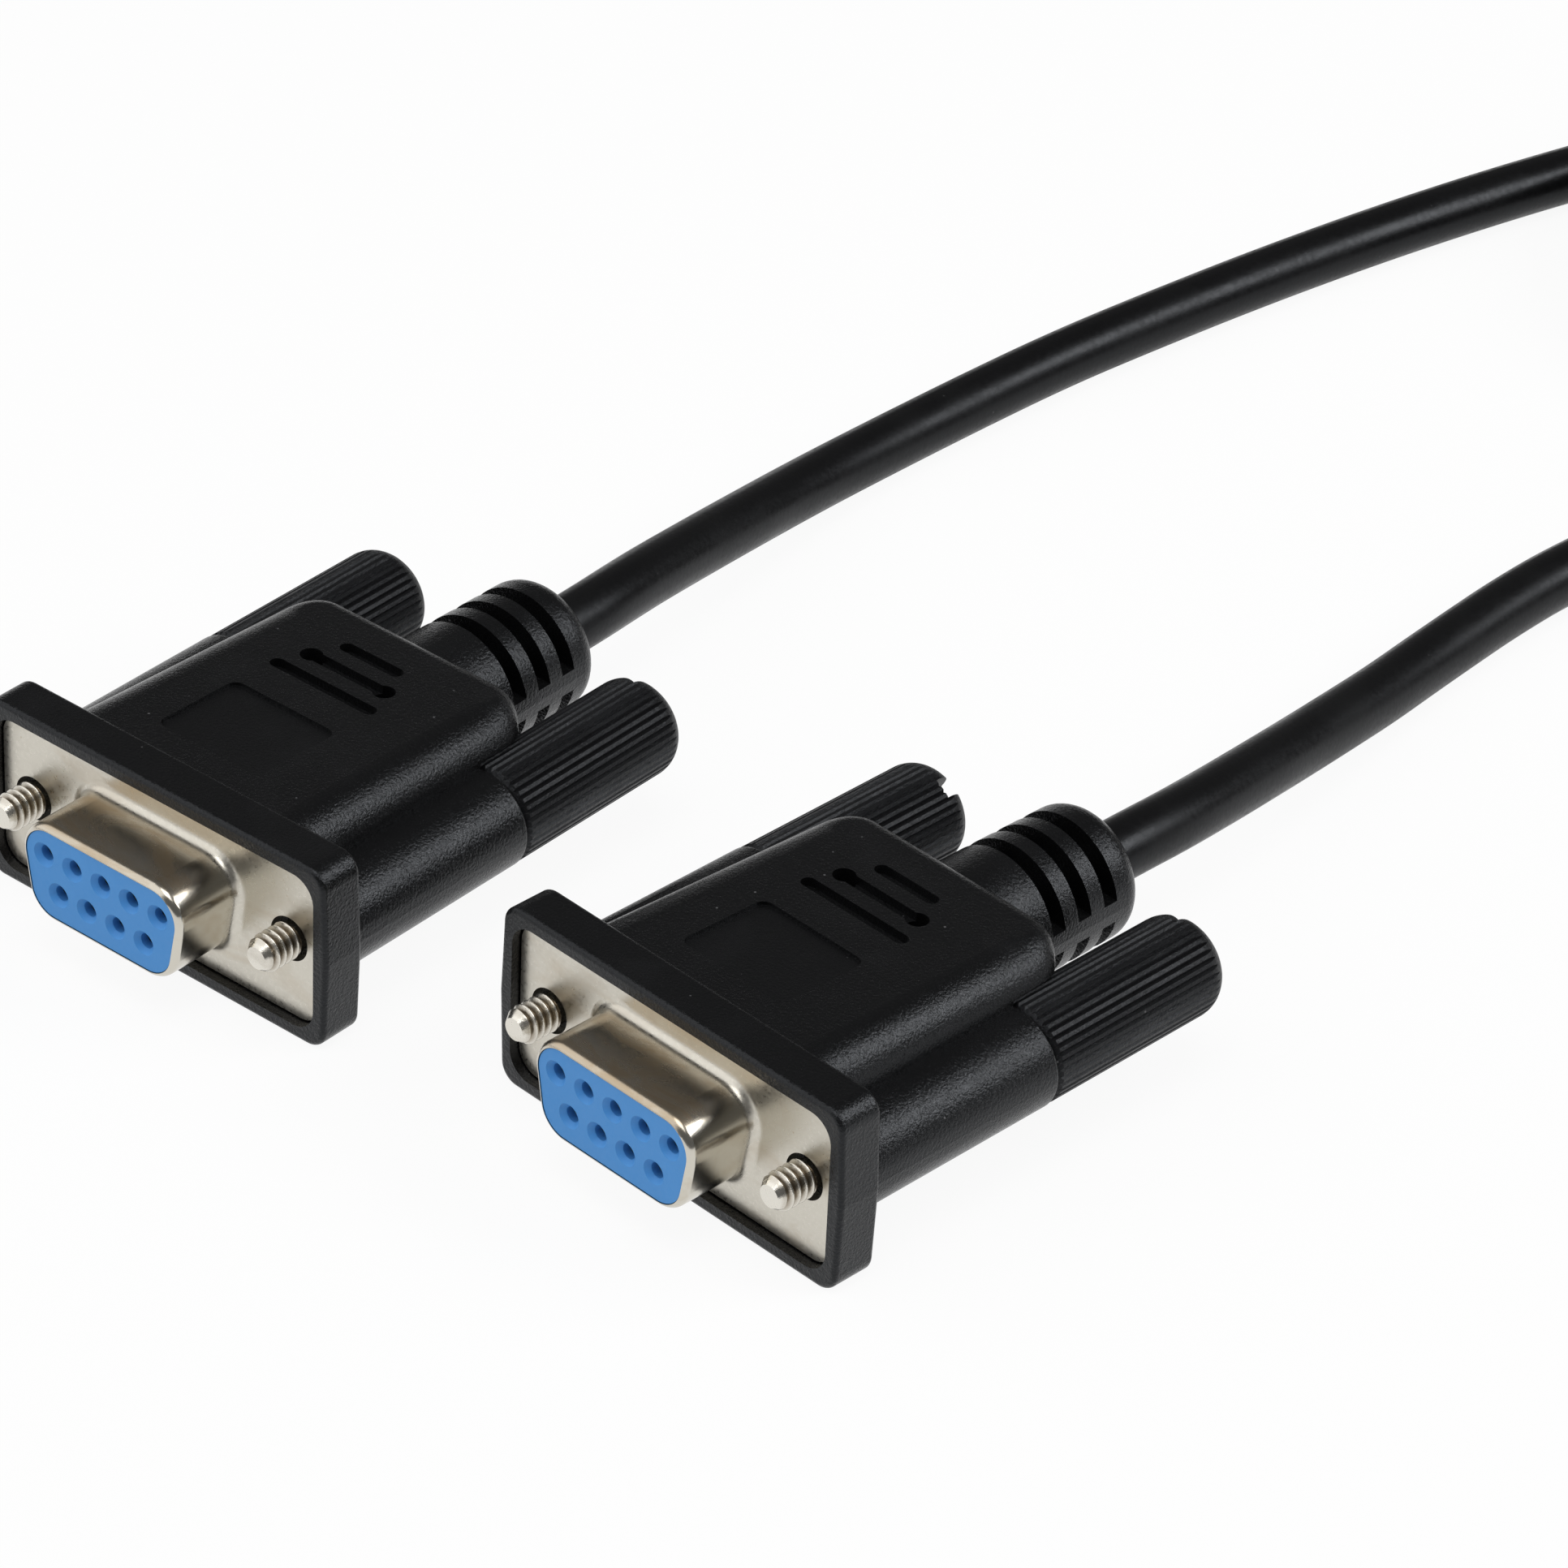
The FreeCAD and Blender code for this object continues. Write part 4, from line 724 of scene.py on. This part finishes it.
@dataclass
class Jackscrew:
    """A jackscrew with its real thread, in the frame of its own joint.

    Attributes:
        crest: radius over the thread.
        pitch: of the 4-40 UNC thread.
        groove: depth of the thread.
        crest_width: flat of the crest, as a share of the pitch.
        root_width: flat of the root, as a share of the pitch.
        tip: length in front of the metal plate.
        point: radius of the tip's flat end.
        taper: how much the radius grows behind the tip for each unit of length, up to the crest.
        thread_end: how far in front of the plate the thread runs out.
        shank: radius behind the thread.
        head_start: where the head begins inside the knob, behind the plate.
        head_end: where it ends.
        head: its radius.
        around: points round the screw.
        rows_per_pitch: rows of points along one turn of the thread.
        weld: distance under which two points are one.
        sharp: angle in degrees above which an edge is kept crisp.
    """

    crest: float = 1.42 * MM
    pitch: float = 0.635 * MM
    groove: float = 0.36 * MM
    crest_width: float = 0.125
    root_width: float = 0.25
    tip: float = 3.3 * MM
    point: float = 0.87 * MM
    taper: float = 0.7
    thread_end: float = 0.0
    shank: float = 1.2 * MM
    head_start: float = 20.75 * MM
    head_end: float = 30.75 * MM
    head: float = 1.6 * MM
    around: int = 120
    rows_per_pitch: int = 24
    weld: float = 0.0001 * MM
    sharp: float = 50.0

    def threaded(self, turn: np.ndarray) -> tuple[np.ndarray, np.ndarray]:
        """Rows of points that follow the thread, so that its edges come out crisp.

        A row starts at a fixed place and runs forwards by one pitch in a turn, as a right-hand thread
        does. Its place along the screw stops at the tip and where the thread ends. The radius is the
        smaller of the tapered tip's and the thread's, and the thread's is a trapezoid wave of the row's
        own number: a flat crest, flanks at 30 degrees and a flat root.

        Args:
            turn: angles round the screw.

        Returns:
            Distances behind the plate and radii, one row for each line along the thread.
        """
        turned = turn[None, :] / FULL_TURN
        pitches = math.ceil((self.tip - self.thread_end) / self.pitch) + 1
        row = np.arange(pitches * self.rows_per_pitch + 1)[:, None] / self.rows_per_pitch
        along = np.clip(-self.tip + (row - turned) * self.pitch, -self.tip, -self.thread_end)
        from_root = np.abs(((along + self.tip) / self.pitch + turned) % 1.0 - 0.5)
        crest_edge = 0.5 - self.crest_width / 2
        flank = crest_edge - self.root_width / 2
        depth = self.groove * np.clip((crest_edge - from_root) / flank, 0.0, 1.0)
        return along, np.minimum(self.crest - depth, self.point + self.taper * (along + self.tip))

    def groove_shade(self, along: np.ndarray, radius: np.ndarray) -> np.ndarray:
        """Painted shade in the thread's grooves: its depth as a share of the groove, faded out where the tip
        tapers.

        Args:
            along: distances behind the plate.
            radius: the radius at each of them.

        Returns:
            Shares between 0 and 1.
        """
        taper_end = (self.crest - self.point) / self.taper - self.tip
        deep = np.clip((self.crest - radius) / self.groove, 0.0, 1.0)
        return deep * np.clip((along - taper_end) / self.pitch + 1, 0, 1)

    def surface(self, turn: np.ndarray) -> tuple[np.ndarray, np.ndarray, np.ndarray]:
        """Whole screw as rows of points round its axis, from the tip's middle to the head's.

        Args:
            turn: angles round the screw.

        Returns:
            Distances behind the plate, radii and shares of painted groove shade, one row for each line round
            the screw.
        """
        along, radius = self.threaded(turn)
        groove_shade = self.groove_shade(along, radius)
        level = np.ones((1, len(turn)))
        plain = ((-self.thread_end, self.shank), (self.head_start, self.shank), (self.head_start, self.head),
                 (self.head_end, self.head), (self.head_end, 0.0))
        along = np.vstack([-self.tip * level, along] + [place * level for place, _ in plain])
        radius = np.vstack([0.0 * level, radius] + [size * level for _, size in plain])
        return along, radius, np.pad(groove_shade, ((1, len(plain)), (0, 0)))

    def build(self, name: str, joint: dict, node: str) -> bpy.types.Object:
        """Makes one screw on its joint's axis.

        A point is the joint's place, moved back along the axis by its row's distance, and moved out by its
        radius: by the cosine of its angle across, and by the sine upwards.

        Args:
            name: the piece's name.
            joint: the joint it turns on, whose axis points out of the mating face.
            node: the CAD node that it stands for.

        Returns:
            The object.
        """
        turn = np.linspace(0.0, FULL_TURN, self.around + 1)
        along, radius, groove_shade = self.surface(turn)
        forward = Vector(joint["axis"]).normalized()
        across = forward.cross(Vector((0, 0, 1))).normalized()
        upward = across.cross(forward).normalized()
        points = (np.array(joint["pos_m"])
                  - along[:, :, None] * np.array(forward)
                  + (radius * np.cos(turn))[:, :, None] * np.array(across)
                  + (radius * np.sin(turn))[:, :, None] * np.array(upward))
        rows, columns = along.shape
        row, column = np.meshgrid(np.arange(rows - 1), np.arange(columns - 1), indexing="ij")
        corner = row * columns + column
        faces = np.stack((corner, corner + 1, corner + columns + 1, corner + columns), axis=-1).reshape(-1, 4)
        piece = mesh_piece(name, points.reshape(-1, 3), faces, NICKEL_SCREW.material())
        # Painted shade in the thread's grooves, darkest at the root, for the plated skin
        piece.data.attributes.new("groove", "FLOAT", "POINT").data.foreach_set("value", groove_shade.ravel())
        self.close(piece)
        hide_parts(node)
        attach(piece, joint["child"])
        return piece

    def close(self, piece: bpy.types.Object) -> None:
        """Joins the points that meet and keeps the sharp edges crisp.

        Args:
            piece: the screw.
        """
        shape = bmesh.new()
        shape.from_mesh(piece.data)
        bmesh.ops.remove_doubles(shape, verts=shape.verts, dist=self.weld)
        bmesh.ops.recalc_face_normals(shape, faces=shape.faces)
        shape.to_mesh(piece.data)
        shape.free()
        piece.data.set_sharp_from_angle(angle=math.radians(self.sharp))


@dataclass
class SocketEnd:
    """One end of the cable: the finishes of its CAD nodes and its two threaded jackscrews.

    Attributes:
        end: the socket's letter.
        place: middle of its plate's front plane.
        turn: its turn about the vertical, in degrees.
    """

    end: str
    place: tuple[float, float]
    turn: float

    def finish(self, slot: str) -> Moulding | Plating:
        """Finish of a material slot on this end.

        Args:
            slot: the record's name of the slot.

        Returns:
            The finish, which for the steel plate is this end's own.
        """
        if slot == "nickel_plate":
            return Plating("plate_nickel_" + self.end, NICKEL_BRIGHT, NICKEL_TARNISH_AND_SHADE,
                           place=self.place, turn=self.turn)
        return FINISHES[slot]

    def dress(self, frame: dict) -> int:
        """Gives each of this end's CAD nodes the finish of its material slot.

        Args:
            frame: what the frame's loader returned.

        Returns:
            How many nodes it dressed.
        """
        subparts = frame["record"]["subparts"]
        own = [subpart for subpart in subparts if subpart["node"].endswith("_" + self.end)]
        for subpart in own:
            node = frame["nodes"][subpart["node"]]
            finish = self.finish(subpart["material_slot"]).material()
            if not node.material_slots:
                node.data.materials.append(finish)
            for slot in node.material_slots:
                slot.material = finish
        return len(own)

    def build(self, frame: dict) -> None:
        """Dresses this end and makes its screws.

        Args:
            frame: what the frame's loader returned.
        """
        LOG.info("socket %s: %d nodes dressed", self.end, self.dress(frame))
        joints = {joint["child"]: joint for joint in frame["joints"]}
        for side in SIDES:
            joint = joints["thumbscrew_%s_%s" % (side, self.end)]
            node = "jackscrew_%s_%s" % (side, self.end)
            piece = Jackscrew().build("thread_%s_%s" % (side, self.end), joint, node)
            LOG.info("screw: %s with %d faces", piece.name, len(piece.data.polygons))


@dataclass(frozen=True)
class Lamp:
    """A soft rectangular lamp that faces the object.

    Attributes:
        name: the lamp's name.
        place: where it hangs.
        size: its width and height.
        power: in watts.
    """

    name: str
    place: Point
    size: tuple[float, float]
    power: float

    def hang(self, aim: Point) -> None:
        """Adds the lamp to the scene.

        Args:
            aim: the point that it faces.
        """
        data = bpy.data.lights.new(self.name, "AREA")
        data.shape = "RECTANGLE"
        data.size, data.size_y = self.size
        data.energy = self.power
        lamp = bpy.data.objects.new(self.name, data)
        lamp.location = self.place
        lamp.rotation_euler = (Vector(aim) - Vector(self.place)).to_track_quat("-Z", "Y").to_euler()
        bpy.context.scene.collection.objects.link(lamp)


@dataclass
class Studio:
    """Camera, lamps, floor and backdrop: no part of the object.

    Attributes:
        eye: the camera's place, found by fitting the photograph.
        rise: its angle above the table, in degrees.
        swing: its angle from straight in front of socket B, in degrees.
        roll: its turn about its own axis, in degrees.
        lens: focal length, in millimetres.
        sensor: width of its sensor, in millimetres.
        near: nearest distance that it sees.
        far: farthest distance that it sees.
        floor_size: length of the table's sides.
        paper: how much light the table's white throws back.
        glow: share of the table that shows as plain white, so that its shadow stays faint.
        surroundings: brightness of the room round the table.
        aim: the point that the lamps face.
        lamps: key light from the right, soft light from above, and fill from the left.
    """

    eye: Point = (0.27947, -0.27963, 0.30209)
    rise: float = 34.23
    swing: float = 44.058
    roll: float = 2.693
    lens: float = 167.12
    sensor: float = 36.0
    near: float = 0.01
    far: float = 20.0
    floor_size: float = 6.0
    paper: float = 0.82
    glow: float = 0.92
    surroundings: float = 0.13
    aim: Point = (-0.02, 0.03, 0.0)
    lamps: tuple[Lamp, ...] = (
        Lamp("right_key", (0.5, 0.53, 0.52), (0.42, 0.36), 4.0),
        Lamp("overhead", (0.15, -0.15, 0.9), (0.6, 0.6), 4.0),
        Lamp("left_fill", (-0.55, -0.56, 0.57), (1.4, 1.2), 6.0),
    )

    def camera(self) -> None:
        """Puts the camera where the photograph was taken from."""
        rise, swing, roll = (math.radians(angle) for angle in (self.rise, self.swing, self.roll))
        back = Vector((math.sin(swing) * math.cos(rise), -math.cos(swing) * math.cos(rise), math.sin(rise)))
        right = Vector((math.cos(swing), math.sin(swing), 0.0))
        up = back.cross(right)
        level, steep = math.cos(roll), math.sin(roll)
        turned_right = right * level + up * steep
        turned_up = up * level - right * steep
        data = bpy.data.cameras.new("camera")
        data.lens = self.lens
        data.sensor_width = self.sensor
        data.clip_start = self.near
        data.clip_end = self.far
        camera = bpy.data.objects.new("camera", data)
        axes = Matrix((turned_right, turned_up, back)).transposed().to_4x4()
        camera.matrix_world = Matrix.Translation(self.eye) @ axes
        bpy.context.scene.collection.objects.link(camera)
        bpy.context.scene.camera = camera

    def world(self) -> None:
        """Dim surroundings that the camera sees as white."""
        world = bpy.data.worlds.new("studio_world")
        world.use_nodes = True
        world.node_tree.nodes.clear()
        make = Nodes(world.node_tree)
        dim = make.add("Background", Color=WHITE, Strength=self.surroundings)
        seen = make.add("Background", Color=WHITE, Strength=1.0)
        direct = make.add("LightPath").outputs["Is Camera Ray"]
        mixed = make.mixed_shader(direct, dim.outputs[0], seen.outputs[0])
        make.join(mixed, make.add("OutputWorld").inputs["Surface"])
        bpy.context.scene.world = world

    def table_white(self) -> bpy.types.Material:
        """Material of the table: white paper that lights the object, and shows as plain white from above.

        It shows so to the camera, in a mirror and through clear plastic. From below it is clear.

        Returns:
            The material.
        """
        material = bpy.data.materials.new("floor_white")
        material.use_nodes = True
        material.node_tree.nodes.clear()
        make = Nodes(material.node_tree)
        path = make.add("LightPath").outputs
        mirrored = make.math("MAXIMUM", path["Is Camera Ray"], path["Is Glossy Ray"])
        seen = make.math("MAXIMUM", mirrored, path["Is Transmission Ray"])
        paper = make.add("BsdfDiffuse", Color=(self.paper, self.paper, self.paper, 1.0))
        white = make.add("Emission", Color=WHITE, Strength=1.0)
        above = make.mixed_shader(make.math("MULTIPLY", seen, self.glow), paper.outputs[0], white.outputs[0])
        below = make.add("NewGeometry").outputs["Backfacing"]
        sided = make.mixed_shader(below, above, make.add("BsdfTransparent").outputs[0])
        make.join(sided, make.add("OutputMaterial").inputs["Surface"])
        return material

    def floor(self) -> None:
        """White table that keeps a faint shadow, and hides nothing from below."""
        half = self.floor_size / 2
        corners = [(-half, -half, 0), (half, -half, 0), (half, half, 0), (-half, half, 0)]
        mesh = bpy.data.meshes.new("floor")
        mesh.from_pydata(corners, [], [(0, 1, 2, 3)])
        mesh.materials.append(self.table_white())
        floor = bpy.data.objects.new("floor", mesh)
        bpy.context.scene.collection.objects.link(floor)

    def build(self) -> None:
        """Sets up everything round the object."""
        self.camera()
        self.world()
        self.floor()
        for lamp in self.lamps:
            lamp.hang(self.aim)
        bpy.context.scene.view_settings.view_transform = "Standard"


def main() -> None:
    """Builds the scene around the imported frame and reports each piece."""
    logging.basicConfig(level=logging.INFO, format="%(name)s: %(message)s")
    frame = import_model()
    Studio().build()
    Cable().build()
    SocketEnd(end="a", place=(-0.043137, -0.008912), turn=5.323).build(frame)
    SocketEnd(end="b", place=(0.0, 0.0), turn=0.0).build(frame)


if __name__ == "__main__":
    main()
